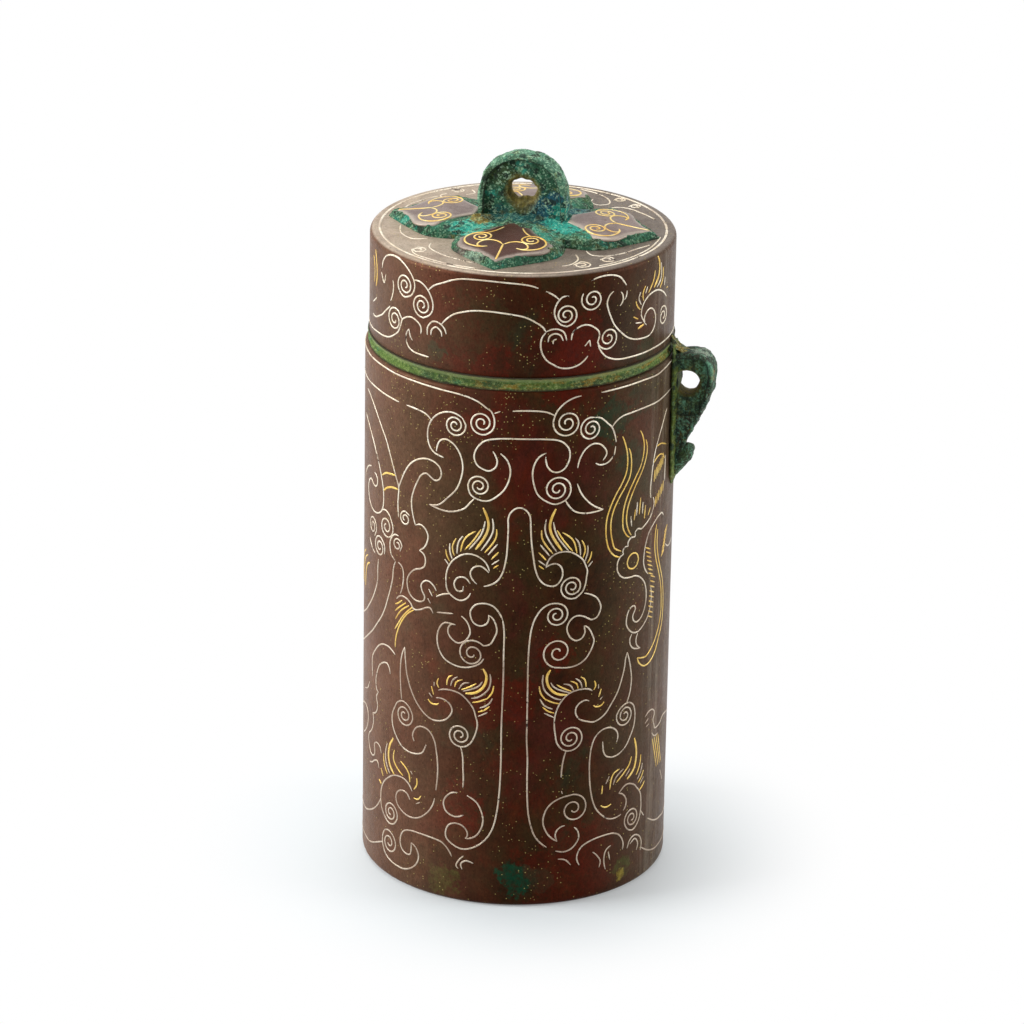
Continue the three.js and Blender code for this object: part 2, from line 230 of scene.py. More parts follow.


# Dark patina: umber, olive, red and green clouds, painted paler towards its left and right as painted sheen,
# with a painted highlight in pale streaks near its right edge, fine mottling, mineral specks and pits.
# A flat top is greyer: worn metal with painted sheen, painted lighter at its left than at its right.
def bronzeMaterial(name, patches, greyTopAndSheen=0.0):
    material, shader, place = newMaterial(name)
    finish = bronzeFinish
    across = place.axis("X") / (shared["bodyRadius"] * millimetre)
    grain = place.noise(1.3, 8, 0.8)
    crowd = place.noise(8, 5, 0.7)
    colour = plainColour(place, finish["brown"])
    for size, low, high, share, tone in ((30, 0.44, 0.6, 0.8, "olive"), (20, 0.48, 0.64, 0.75, "red"),
                                         (13, 0.5, 0.68, 0.65, "mauve"), (12, 0.53, 0.68, 0.7, "umber"),
                                         (17, 0.57, 0.69, 0.45, "forest"), (6, 0.56, 0.7, 0.6, "ruddy")):
        cloud = place.stretched((1, 1, 0.7), (size, 0, 0)).noise(size, 8, 0.7, 0.4)
        colour = colour.tint(cloud.step(low, high) * share, finish[tone])
    for centre, radius, tone, share in patches:
        colour = colour.tint(place.patch(centre, radius) * (grain.step(0.3, 0.6) * share), finish[tone])
    uneven = place.noise(14, 8, 0.72) * 0.9 + 0.3
    # Painted sheen: paler towards the left side and towards the right side, unevenly.
    colour = colour.tint(((0 - across).step(-0.05, 1.25) * uneven).least(0.85), finish["leftSheen"])
    colour = colour.tint((across.step(0.35, 1.25) * uneven).least(0.85), finish["rightSheen"])
    # Painted highlight: pale streaks in a band along the drum's right edge.
    streaks = place.stretched((1, 1, 0.04)).noise(1.6, 6, 0.75).step(0.46, 0.62)
    edgeHighlight = across.step(0.8, 0.88) * (1 - across.step(0.95, 0.99))
    colour = colour.tint(edgeHighlight * streaks * 0.3, finish["highlightStreak"])
    # Worn grey metal with painted sheen on the flat top, painted lighter at the left than at the right.
    if greyTopAndSheen:
        flat = place.node("ShaderNodeNewGeometry", None, None, 1).axis("Z").step(0.6, 0.95)
        wearAndSheen = place.noise(9, 7, 0.7).step(0.35, 0.6)
        metalAndSheen = plainColour(place, finish["topMetalLitLeft"]).tint(across.step(-0.75, 0.7), finish["topMetalShadedRight"])
        colour = colour.tint(flat * (wearAndSheen * 0.25 + (greyTopAndSheen - 0.15)), metalAndSheen)
    fine = place.stretched((1, 1, 0.55)).noise(0.42, 6, 0.85)
    mottle = place.noise(3.2, 7, 0.78)
    colour = colour.scaled((fine - 0.5) * 1.7 + (mottle - 0.5) * 1.1 + 1.0)
    colour = colour.tint((1 - place.cells(1.3).step(0.06, 0.16)) * 0.5, finish["umber"])
    chance = place.cells(0.6, output=1).axis("X")
    crowded = place.patch(sidePoint(28.2, -17, 92), 13, 10.0)
    chosen = (chance + crowd * 3 + crowded * 0.5).step(2.33, 2.4)
    specks = (1 - place.cells(0.6).step(0.1, 0.22)) * chosen
    colour = colour.tint(specks * 0.75, finish["speck"])
    feed(colour, shader, "Base Color")
    rough = (grain * 0.5 + crowd * 0.25 + (finish["roughness"] - 0.38)).most(0.16) + specks * 0.2
    feed(rough, shader, "Roughness")
    shader.inputs["Metallic"].default_value = finish["metallic"]
    shader.inputs["Specular IOR Level"].default_value = finish["specular"]
    pits = 1 - place.cells(1.1).step(0.05, 0.2)
    bump(grain * 0.7 + crowd * 0.8 + fine * 0.3 - pits * 0.4, shader, 0.14, 0.75)
    return material


# The petal plates: smooth mauve-brown, paler along their rims from wear and a painted highlight
plateFinish = {
    # The grey tones are the plate colours with painted sheen, for the side and back petals.
    "face": rgb("4a2c22"), "sheenFace": rgb("82716a"), "rim": rgb("a3968a"), "sheenRim": rgb("b5a89a"),
    "stain": rgb("30190f"), "sheenStain": rgb("634f48"), "roughness": 0.36,
}


def plateMaterial(name, face, stain, rimTone):
    material, shader, place = newMaterial(name)
    finish = plateFinish
    rim = place.node("ShaderNodeAttribute", {"attribute_name": "rim"}, None, 2)
    grain = place.noise(0.8, 8, 0.78)
    colour = plainColour(place, finish[face])
    colour = colour.tint(place.noise(5, 7, 0.7).step(0.45, 0.62) * 0.7, finish[stain])
    # Rims paler: partly wear, partly a painted highlight on the bevel.
    colour = colour.tint((rim + grain * 0.25).step(0.95, 1.13) * 0.85, finish[rimTone])
    colour = colour.tint(grain.step(0.54, 0.66) * 0.45, finish[stain])
    feed(colour, shader, "Base Color")
    feed(grain * 0.4 + (finish["roughness"] - 0.2), shader, "Roughness")
    shader.inputs["Metallic"].default_value = 0.25
    shader.inputs["Specular IOR Level"].default_value = 0.2
    bump(grain + place.noise(4, 5, 0.6), shader, 0.1)
    return material


crustFinish = {
    "green": rgb("2a6c4c"),
    "loop": rgb("2c6849"),
    "pale": rgb("bfe4be"),
    "turquoise": rgb("22b49e"),
    "blue": rgb("0c6176"),
    "shadeTeal": rgb("0d6462"),
    # Painted shade in dark teal, along the loop's front foot.
    "dark": rgb("10291a"),
    "moss": rgb("3f5526"),
    "ochre": rgb("a08a3c"),
    "olive": rgb("75661f"),
    "chalk": rgb("c4d2bc"),
    "rose": rgb("86706a"),
    "black": rgb("141b12"),
    "brown": rgb("33291a"),
    "jade": rgb("6fa888"),
    "lug": rgb("465a35"),
    "flange": rgb("6c7a2c"),
    "roughness": 0.6,
}


# Malachite and azurite crust: grains with pale tips and dark hollows, stains, zones of colour, and painted
# shade along the step into a recessed face.
# The attributes border and funnel, where a piece has them, mark its raised rim and its worn eye.
def crustMaterial(name, ground="green", pale="pale", zones=(), ochreShare=0.5, paleShare=0.9,
                  striped=0.0, rimTone="green", blueShare=0.55):
    material, shader, place = newMaterial(name)
    finish = crustFinish
    grain = place.noise(0.7, 8, 0.86)
    middle = place.noise(2.4, 7, 0.72)
    border = place.node("ShaderNodeAttribute", {"attribute_name": "border"}, None, 2)
    funnel = place.node("ShaderNodeAttribute", {"attribute_name": "funnel"}, None, 2)
    colour = plainColour(place, finish[ground])
    colour = colour.tint(place.noise(6, 6, 0.65, 0.6).step(0.5, 0.6) * 0.8, finish["moss"])
    colour = colour.tint(place.noise(5, 6, 0.65).step(0.54, 0.64) * blueShare, finish["turquoise"])
    colour = colour.tint(border.step(0.6, 0.95) * (middle.step(0.3, 0.55) * 0.8), finish[rimTone])
    for centre, radius, tone, share in zones:
        colour = colour.tint(place.patch(centre, radius, 2.4) * share, finish[tone])
    if striped:
        stripes = place.stretched((1, 1, 0.1)).noise(0.8, 6, 0.7)
        colour = colour.tint(stripes.step(0.5, 0.6) * middle.step(0.4, 0.6) * striped, finish[pale])
        colour = colour.tint((1 - stripes.step(0.4, 0.5)) * striped, finish["black"])
    colour = colour.tint(place.noise(3.4, 8, 0.75).step(0.55, 0.66) * ochreShare, finish["ochre"])
    grit = place.cells(0.3, output=1).axis("X")
    ore = place.cells(0.95, output=1).axis("Y")
    hollow = (1 - grain.step(0.4, 0.48)).most(1 - ore.step(0.16, 0.2))
    colour = colour.tint(hollow * 0.85, finish["dark"])
    colour = colour.scaled(grit * 0.9 + 0.6)
    tips = grit.step(0.66, 0.74) * (middle.step(0.36, 0.56) * 0.9 + 0.1) * grain.step(0.42, 0.52)
    colour = colour.tint(tips * paleShare, finish[pale])
    # Painted shade: a dark line where the raised border drops to the recessed face.
    colour = colour.tint(border.step(0.15, 0.4) * (1 - border.step(0.6, 0.85)) * 0.75, finish["black"])
    olive = plainColour(place, finish["olive"]).tint(grain.step(0.45, 0.6), finish["ochre"])
    olive = olive.tint((1 - grain.step(0.36, 0.5)) * 0.8, finish["brown"])
    colour = place.node("ShaderNodeMix", {"data_type": "RGBA"}, {0: funnel * 0.92, 6: colour, 7: olive}, 2)
    feed(colour, shader, "Base Color")
    feed(grain * 0.5 + (finish["roughness"] - 0.25), shader, "Roughness")
    shader.inputs["Specular IOR Level"].default_value = 0.35
    bump(grain + middle * 0.8 + place.noise(0.3, 5, 0.7) * 0.3, shader, 0.5, 1.0)
    return material


bandFinish = {
    "green": rgb("5c782c"),
    "pale": rgb("a8b470"),
    "deep": rgb("1a3420"),
    "turquoise": rgb("3f8a64"),
    "ochre": rgb("9c7a22"),
    # Painted shade, for the crevices under the lid and above the body's lip.
    "creviceShade": rgb("2e200f"),
    # A painted highlight along the band's top edge.
    "lip": rgb("8f9a62"),
}


# The band below the lid: scratched green, with ochre dirt along it, a painted highlight along its top edge,
# and painted shade in the crevices under the lid and above the body's lip
def bandMaterial():
    material, shader, place = newMaterial("greenBand")
    long = place.stretched((1, 1, 2.6))
    grain = place.noise(0.6, 8, 0.84)
    across = place.axis("X") / (shared["bodyRadius"] * millimetre)
    height = place.axis("Z") * 1000
    colour = plainColour(place, bandFinish["green"])
    colour = colour.tint(place.noise(9, 6, 0.7).step(0.46, 0.6) * 0.7, bandFinish["deep"])
    colour = colour.tint(long.noise(6, 7, 0.7).step(0.52, 0.62) * (0.75 - across.step(-0.9, 0.4) * 0.55),
                         bandFinish["turquoise"])
    colour = colour.tint(long.noise(3.5, 8, 0.75).step(0.49, 0.6) * across.step(-0.7, 0.1) * 0.85,
                         bandFinish["ochre"])
    colour = colour.tint(grain.step(0.51, 0.6) * 0.7, bandFinish["pale"])
    colour = colour.tint((1 - grain.step(0.38, 0.47)) * 0.85, bandFinish["deep"])
    # Painted highlight: a pale line along the band's top edge, just under the lid.
    ridge = (height + grain * 0.5).step(shared["lidBottom"] - 0.75, shared["lidBottom"] - 0.5)
    colour = colour.tint(ridge * 0.5, bandFinish["lip"])
    # Painted shade: dark lines in the crevice under the lid and in the one above the body's lip.
    seamShade = (height + grain * 0.7).step(shared["lidBottom"] + 0.0, shared["lidBottom"] + 0.3)
    foot = 1 - (height + grain * 0.8).step(shared["bodyTop"] + 0.5, shared["bodyTop"] + 0.95)
    colour = colour.tint((seamShade * 0.95).most(foot * 0.85), bandFinish["creviceShade"])
    feed(colour, shader, "Base Color")
    shader.inputs["Roughness"].default_value = 0.62
    shader.inputs["Specular IOR Level"].default_value = 0.3
    bump(grain + long.noise(1.2, 6, 0.7), shader, 0.35, 0.9)
    return material


silverFinish = {
    "bright": rgb("f2e6d0"),
    "cream": rgb("dcc8a8"),
    "dull": rgb("a8907c"),
    "dark": rgb("4a3428"),
    "lost": rgb("2c1d14"),
    "roughness": 0.42,
}


# Worn silver: bright cream, mauve tarnish in patches, duller towards the bottom, dark nicks, and short
# lengths lost
def silverMaterial(name, tarnish, loss):
    material, shader, place = newMaterial(name)
    low = 1 - place.axis("Z").step(0.035, 0.09)
    dull = (place.noise(11, 5, 0.65).step(0.48, 0.64) * 0.6 + low * 0.6) * tarnish
    colour = plainColour(place, silverFinish["bright"])
    colour = colour.tint(place.noise(3, 5, 0.7).step(0.45, 0.6) * 0.7, silverFinish["cream"])
    colour = colour.tint(dull.least(0.9), silverFinish["dull"])
    nicks = place.noise(0.5, 6, 0.78).step(0.53, 0.64)
    colour = colour.tint(nicks * 0.6, silverFinish["dark"])
    lost = place.noise(3.6, 7, 0.75).step(0.66 - loss, 0.7 - loss)
    colour = colour.tint(lost, silverFinish["lost"])
    feed(colour, shader, "Base Color")
    feed((nicks + lost).least(1.0) * 0.35 + silverFinish["roughness"], shader, "Roughness")
    shader.inputs["Metallic"].default_value = 0.25
    bump(place.noise(0.5, 5, 0.7), shader, 0.05)
    return material


goldFinish = {
    "bright": rgb("efc458"),
    "deep": rgb("c89638"),
    "pale": rgb("f2e09c"),
    "dark": rgb("5a3c18"),
    "roughness": 0.36,
}


# Worn gold, with deeper tones, paler lengths and dark nicks
def goldMaterial(name, paleShare):
    material, shader, place = newMaterial(name)
    colour = plainColour(place, goldFinish["bright"])
    colour = colour.tint(place.noise(5, 5, 0.65).step(0.47, 0.62) * 0.7, goldFinish["deep"])
    colour = colour.tint(place.noise(2, 5, 0.65).step(0.4, 0.6) * paleShare, goldFinish["pale"])
    nicks = place.noise(0.5, 6, 0.78).step(0.54, 0.66)
    colour = colour.tint(nicks * 0.65, goldFinish["dark"])
    feed(colour, shader, "Base Color")
    feed(nicks * 0.35 + goldFinish["roughness"], shader, "Roughness")
    shader.inputs["Metallic"].default_value = 0.35
    bump(place.noise(0.5, 5, 0.7), shader, 0.05)
    return material


# Mesh helpers. A piece is made from whole arrays, in millimetres, and rides on its body.

def makePiece(name, points, faces, material, body):
    mesh = bpy.data.meshes.new(name)
    mesh.from_pydata(np.asarray(points) * millimetre, [], faces)
    mesh.materials.append(material)
    mesh.shade_smooth()
    piece = bpy.data.objects.new(name, mesh)
    bpy.context.scene.collection.objects.link(piece)
    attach(piece, body)
    return piece


# A number at every point of a piece, which its material reads by name
def mark(piece, name, values):
    layer = piece.data.attributes.new(name, "FLOAT", "POINT")
    layer.data.foreach_set("value", np.asarray(values, np.float32).ravel())


# Quads of a grid of rows by columns, where rows or columns may close on themselves
def gridFaces(rows, columns, closeRows=False, closeColumns=False):
    r = np.arange(rows if closeRows else rows - 1)[:, None]
    c = np.arange(columns if closeColumns else columns - 1)[None, :]
    here = r * columns + c
    right = r * columns + (c + 1) % columns
    up = ((r + 1) % rows) * columns + c
    both = ((r + 1) % rows) * columns + (c + 1) % columns
    return np.stack([here, right, both, up], -1).reshape(-1, 4).tolist()


# Turned surface: a closed profile of (radius, height) goes round the axis, so that a point
# stands at (radius times cosine, radius times sine, height)
def turnedSurface(name, profile, material, body, segments=360, shift=None):
    profile = np.array(profile, float)
    angle = (np.arange(segments) * 2 * math.pi / segments)[None, :]
    radius = profile[:, 0][:, None] + 0 * angle
    height = profile[:, 1][:, None] + 0 * angle
    if shift is not None:
        radius, height = shift(radius, height, angle)
    points = np.stack([radius * np.cos(angle), radius * np.sin(angle), height], -1).reshape(-1, 3)
    faces = gridFaces(len(profile), segments, closeRows=True, closeColumns=True)
    return makePiece(name, points, faces, material, body)


# Points on a round corner from one direction to another, in degrees, as (radius, height)
def roundCorner(centre, radius, start, end, steps=6):
    turn = np.radians(np.linspace(start, end, steps + 1))
    return np.stack([centre[0] + radius * np.cos(turn), centre[1] + radius * np.sin(turn)], -1).tolist()


# Straight run between two profile points in even steps, without its last point
def evenRun(start, end, steps):
    share = np.linspace(0, 1, steps + 1)[:-1, None]
    return (np.array(start) * (1 - share) + np.array(end) * share).tolist()


# Inlay wires. A wire is a list of points on its surface, in millimetres: on the sides u runs round
# to the right from the front and z is the height. A point given twice is a sharp corner, and None
# is a worn gap. A coil is (centre u, centre z, turns, way), with way 1 anticlockwise: it winds
# inwards from the wire's last point, or from its first point for startCoil.

inlay = {
    "wireWidth": 0.37,
    "wireRise": 0.045,     # how far a wire stands proud of the bronze
    "wireSink": 0.12,
    "spacing": 0.3,        # between cross-sections along a wire
    "coilHeart": 0.38,     # radius where a coil ends
    "coilTurns": 0.66,     # share of a coil's full turns that is still there
}


def wire(*points, coil=None, startCoil=None, width=1.0, tip=0.55):
    return {"points": list(points), "coil": coil, "startCoil": startCoil, "width": width, "tip": tip}


# A closed round of wire about a centre: eight points and the first again
def ring(centre, radius):
    angles = np.radians(np.arange(0, 361, 45))
    points = [(centre[0] + radius * math.cos(a), centre[1] + radius * math.sin(a)) for a in angles]
    return wire(*points, tip=1.0)


# The same wires across a line at that place on the chosen axis
def mirrored(wires, about, axis=0):
    def flip(p):
        return tuple(2 * about - v if k == axis else v for k, v in enumerate(p)) if p else p

    def flipCoil(c):
        return flip(c[:2]) + (c[2], -c[3]) if c else c

    return [dict(w, points=[flip(p) for p in w["points"]], coil=flipCoil(w["coil"]),
                 startCoil=flipCoil(w["startCoil"])) for w in wires]


# Smooth curve through the points: between two of them, a cubic whose slopes lean on both
# neighbours, with the square root of each chord as its time
def smoothRun(points):
    points = np.array(points, float)
    chord = np.hypot(*np.diff(points, axis=0).T)
    lapse = np.sqrt(chord)[:, None]
    slope = np.diff(points, axis=0) / lapse
    lean = np.empty_like(points)
    lean[1:-1] = (slope[:-1] * lapse[1:] + slope[1:] * lapse[:-1]) / (lapse[1:] + lapse[:-1])
    lean[0] = slope[0] if len(points) == 2 else 1.5 * slope[0] - 0.5 * lean[1]
    lean[-1] = slope[-1] if len(points) == 2 else 1.5 * slope[-1] - 0.5 * lean[-2]
    counts = np.maximum(2, np.ceil(chord / inlay["spacing"])).astype(int)
    span = np.repeat(np.arange(len(chord)), counts)
    first = np.concatenate([[0], np.cumsum(counts)[:-1]])
    t = ((np.arange(counts.sum()) - first[span]) / counts[span])[:, None]
    start, end = points[span], points[span + 1]
    leave, arrive = lean[span] * lapse[span], lean[span + 1] * lapse[span]
    curve = ((2 * t ** 3 - 3 * t ** 2 + 1) * start + (t ** 3 - 2 * t ** 2 + t) * leave
             + (3 * t ** 2 - 2 * t ** 3) * end + (t ** 3 - t ** 2) * arrive)
    return np.vstack([curve, points[-1:]])


# A coil's radius falls evenly with its angle from the wire's end to the coil's heart
def coilRun(start, coil):
    centre, turns, way = np.array(coil[:2]), coil[2] * inlay["coilTurns"], coil[3]
    away = np.array(start) - centre
    radius = math.hypot(*away)
    steps = int(turns * math.pi * radius / inlay["spacing"] * 1.25) + 12
    share = np.linspace(0, 1, steps)[1:] ** 0.85
    reach = radius + (inlay["coilHeart"] - radius) * share
    angle = math.atan2(away[1], away[0]) + way * turns * 2 * math.pi * share
    return centre + reach[:, None] * np.stack([np.cos(angle), np.sin(angle)], -1)


# The wire's points as smooth runs, split at its gaps and sharp corners
def wireRuns(given):
    pieces, run = [], []
    for point in given["points"] + [None]:
        if point is None or (run and point == run[-1]):
            if len(run) > 1:
                pieces.append(smoothRun(run))
            run = []
        if point is not None:
            run.append(point)
    if given["coil"]:
        pieces[-1] = np.vstack([pieces[-1], coilRun(pieces[-1][-1], given["coil"])])
    if given["startCoil"]:
        back = coilRun(pieces[0][0], given["startCoil"])[::-1]
        pieces[0] = np.vstack([back, pieces[0]])
    return pieces


# Flattened wire: a low domed section, closed underneath, is carried along the run. The section's
# side direction is the run's heading turned a quarter round, and the ends narrow to the tip share.
def wireMesh(run, given, place):
    heading = np.gradient(run, axis=0)
    heading /= np.hypot(*heading.T)[:, None] + 1e-9
    side = np.stack([-heading[:, 1], heading[:, 0]], -1)
    far = np.arange(len(run)) * inlay["spacing"]
    nearEnd = np.minimum(far, far[::-1]) / 0.9
    full = inlay["wireWidth"] / 2 * given["width"]
    half = full * (given["tip"] + (1 - given["tip"]) * np.minimum(nearEnd, 1))
    across = np.array([-1, -0.7, 0, 0.7, 1])
    rise = np.array([-inlay["wireSink"], 0.7 * inlay["wireRise"], inlay["wireRise"],
                     0.7 * inlay["wireRise"], -inlay["wireSink"]])
    flat = run[:, None, :] + side[:, None, :] * (half[:, None] * across)[..., None]
    points = place(flat[..., 0], flat[..., 1], rise[None, :] + 0 * flat[..., 0]).reshape(-1, 3)
    count = len(across)
    faces = gridFaces(len(run), count, closeColumns=True)
    last = (len(run) - 1) * count
    return points, faces + [list(range(count))[::-1], list(range(last, last + count))]


def inlayPiece(name, wires, place, material, body, turns=(0,)):
    points, faces, total = [], [], 0
    for given in wires:
        for run in wireRuns(given):
            some, their = wireMesh(run, given, place)
            points.append(some)
            faces += [[i + total for i in face] for face in their]
            total += len(some)
    single = np.vstack(points)
    every = [np.stack([single[:, 0] * math.cos(a) - single[:, 1] * math.sin(a),
                       single[:, 0] * math.sin(a) + single[:, 1] * math.cos(a), single[:, 2]], -1)
             for a in turns]
    allFaces = [[i + total * k for i in face] for k in range(len(turns)) for face in faces]
    piece = makePiece(name, np.vstack(every), allFaces, material, body)
    outward(piece)
    return piece


# Faces are turned to point outwards
def outward(piece):
    made = bmesh.new()
    made.from_mesh(piece.data)
    bmesh.ops.recalc_face_normals(made, faces=made.faces)
    made.to_mesh(piece.data)
    made.free()


# A point at u round a drum of a given radius, at height z, standing proud by rise
def onDrum(radius):
    def place(u, z, rise):
        return np.stack([(radius + rise) * np.sin(u / radius), -(radius + rise) * np.cos(u / radius), z], -1)
    return place


# A point (x, y) on a flat top at a given height, turned about the axis
def onTop(height, turn=0.0):
    def place(x, y, rise):
        return np.stack([x * math.cos(turn) - y * math.sin(turn),
                         x * math.sin(turn) + y * math.cos(turn), height + rise], -1)
    return place


# The body's pattern: cloud scrolls either side of a central arch, with a phoenix at each side

bodyTopBand = [
    wire((-35, 99.4), (-30, 99.4), (-25, 99.25), (-20, 99.2), (-15, 99), (-10, 98.6), (-7.5, 97.8),
         (-5.9, 96.75), (-5.1, 96.2), (-4.5, 94.5), (-4.8, 92.8), (-6, 91.8), coil=(-6.8, 93.9, 2.9, -1)),
    wire((15, 98.9), (20, 99), (25, 99), (29.5, 98.8), (32.5, 99.1), (34.5, 99.3), (44, 99.5), (53.6, 99.4)),
    wire((11, 98.85), (9.3, 98.5), (7.6, 97.5), (6.4, 96), (5.9, 94.4), coil=(8.5, 94, 3.2, 1)),
    wire((-4.5, 95.9), (-3.5, 96.35), None, (-1.3, 96.5), (1.8, 96.6), (4.6, 96.3), (6.1, 95.6)),
    wire((13.7, 94.4), (12.7, 94.5), (11.84, 94.15), coil=(13.1, 92.35, 3, 1)),
    wire((-10.4, 94.4), (-9.73, 93.16), coil=(-11.8, 92.8, 3, -1)),
    wire((13.7, 94.4), (15, 94.1), (16.5, 92.8), (17.4, 91.9), (18.1, 90.25), (18.4, 88.9), None,
         (18.3, 88.1), (17.9, 86.5), (16.7, 85.4), (15.2, 85.2), (14.1, 85.7)),
    wire((-10.4, 94.4), (-11.7, 95), (-13, 95.1), (-15, 94.4), (-16.5, 93), (-17.3, 91.2), (-17.4, 89.7),
         (-17, 88), (-16, 86.9), (-14.9, 86.5), (-14, 86.3)),
    wire((17.4, 91.9), (18.4, 92.9), (19.8, 93.5), (22, 93.65), (25, 93.7), (30, 93.6), (32.5, 93.8),
         (35, 94), (43, 94.3), (51.6, 94.3)),
    wire((-16.6, 92.8), (-17.6, 93.6), (-18.5, 93.9), (-20, 94.1), (-22.5, 94.2), None,
         (-24.5, 94.2), (-28, 94.3), (-33, 94.4), (-37, 94.3)),
    wire((15.6, 86), (16.4, 87.3), (15.2, 89), (13.5, 89.45), (12, 88.6), (11, 87), (10.6, 85.3), None,
         (10.6, 82.3), (11.5, 80.2), (13, 78.4), (14.5, 77.25), (15.9, 76.6), (15.9, 76.6),
         (13.5, 76.4), (12, 76.5), (10.2, 77.1), (9, 78.4), (8.35, 79.5)),
    wire((-15.5, 87.2), (-15, 89), (-14.2, 89.7), (-13.2, 89.8), (-11.8, 89), (-10.7, 87.4), (-10.2, 85.25),
         (-10.5, 83), (-11.4, 80.75), (-13, 78.9), (-15, 77.1), (-16.9, 76.75), (-16.9, 76.75),
         (-14, 76.25), (-12.5, 76.3), (-10.8, 76.8), (-9.6, 77.5), (-8.8, 78.5), (-8, 79.45)),
    wire((4.75, 88.6), (3.6, 87.95), (2.8, 86.75), (2.4, 85), (2.6, 83), (3.4, 80.75), (4.9, 79.45),
         (6.6, 78.8), (8.4, 79.4), coil=(6.9, 81.6, 3.2, 1)),
    wire((-3.3, 88.4), (-2.2, 87.3), (-1.6, 85.75), (-1.6, 84.2), (-2.3, 82.1), (-3.6, 80.5), (-5.5, 79.3),
         (-7.3, 79.4), (-8.6, 80.1), (-9.1, 81.25), coil=(-7.1, 81.9, 3, -1)),
    wire((-4.7, 88.75), (-4.3, 88.1), (-3.9, 86.9), (-4.2, 85.75), (-5.3, 85), (-6.5, 85.25), (-7.6, 86),
         (-8.1, 87.5), (-7.6, 89.1), (-6.3, 90.5), (-4.9, 91), (-2, 91.3), (0, 91.3), (4.5, 91.2),
         (6.7, 90.9), (7.8, 90.4), (8.8, 89.25), (9.1, 88.2), (8.95, 86.9), (8.3, 85.6), (7.2, 84.9),
         (6, 85), (5.1, 85.9), (4.75, 87), (4.7, 87.9)),
]

bodyArch = [
    wire((5.1, 66.8), (5.9, 67.3), (6.97, 67.4), (7.9, 66.65), (8.2, 65.3), (7.76, 64), (6.85, 63.2),
         (5.8, 63.2), (4.6, 63.8), (3.74, 64.95), (3.2, 66.5), (2.84, 68.6), (2.5, 71), (2.3, 73.5),
         (2.2, 75.75), (2, 76.9), (1.25, 77.9), (0.25, 78.3), (-0.6, 78.05), (-1.4, 77.25), (-1.8, 76),
         (-1.75, 74.75), (-1.9, 70), (-2.1, 68.1), (-2.7, 65.6), (-3.7, 64), (-5, 63.2), (-6, 62.9), None,
         (-7.3, 63.2), (-8.3, 64.3), (-8.5, 65.3), (-7.9, 66.3), (-6.6, 66.7), (-5.6, 66.1), (-5.1, 65.6)),
    wire((5.1, 66.8), (5.3, 67.6), (5.8, 68.5), (6.8, 69.3), (8.2, 69.6), (9.5, 69.4), (10.9, 68.6),
         (12, 67.6), (12.6, 66.4), (12.95, 65.3), (12.8, 64.2), (12.6, 62.8), (12, 61.4), (10.7, 60.4),
         coil=(10, 62.6, 3.3, -1)),
    wire((-13.2, 62.6), (-13.2, 63.9), (-12.9, 65.3), (-12.1, 66.8), (-11.05, 67.8), (-9.7, 68.6),
         (-8.4, 68.8), (-7.1, 68.5), (-5.9, 67.7), (-5.3, 66.8), (-5, 65.9)),
    wire((-13.2, 62.6), (-12.9, 61.1), (-12, 60.2), (-10.5, 59.6), (-9.2, 60.1), (-8.4, 61.3), None,
         (-8.5, 63.1), (-9.5, 64.1), (-10.9, 63.9), (-11.6, 62.6), (-11, 61.4), (-10, 61.5), (-9.8, 62.4)),
    wire((12.4, 61.1), (13.55, 60.7), (14.3, 60.3), (15.05, 59.7), (15.7, 58.6), (15.9, 57.7), (15.6, 56.7),
         (15.05, 55.95), (14, 55.7), (13.4, 56), (12.4, 56.6), (11.3, 56.9), (10.4, 56.7), (9.6, 55.9),
         (9.2, 54.7), (9.5, 53.5), (10.1, 52.6), (11.05, 52.1), (12.1, 52.4), (12.7, 53.4), (12.6, 54.4),
         (12.5, 54.8), (12.5, 54.8), (13.4, 54.2), (14.2, 52.8), (14.6, 51.5), (14.1, 49.95), (12.9, 48.2),
         (11.3, 47.3), (9.7, 47.05), (7.9, 47.2), coil=(7.6, 50.2, 2.6, -1)),
    wire((-12.4, 60.5), (-13.7, 60.2), (-15.2, 59.4)),
    wire((-15, 56.4), (-13.4, 56.6), (-11.7, 56.8), None, (-10.1, 56.6), (-9.2, 55.9), (-8.55, 54.7),
         (-8.4, 53.6), (-8.8, 52.6), (-9.6, 51.7), (-10.7, 51.3), (-11.8, 51.8), (-12.6, 52.8), (-12.6, 54),
         (-12, 54.7), (-11.2, 54.7), (-11.2, 54.7), (-12, 54.8), (-13.4, 54.7), (-14.5, 53.4), (-14.9, 51.4),
         (-14.5, 49.4), (-13.4, 47.8), (-11.8, 47), (-10, 46.7), (-8.2, 47), (-6.6, 47.8), (-5.8, 48.9)),
]

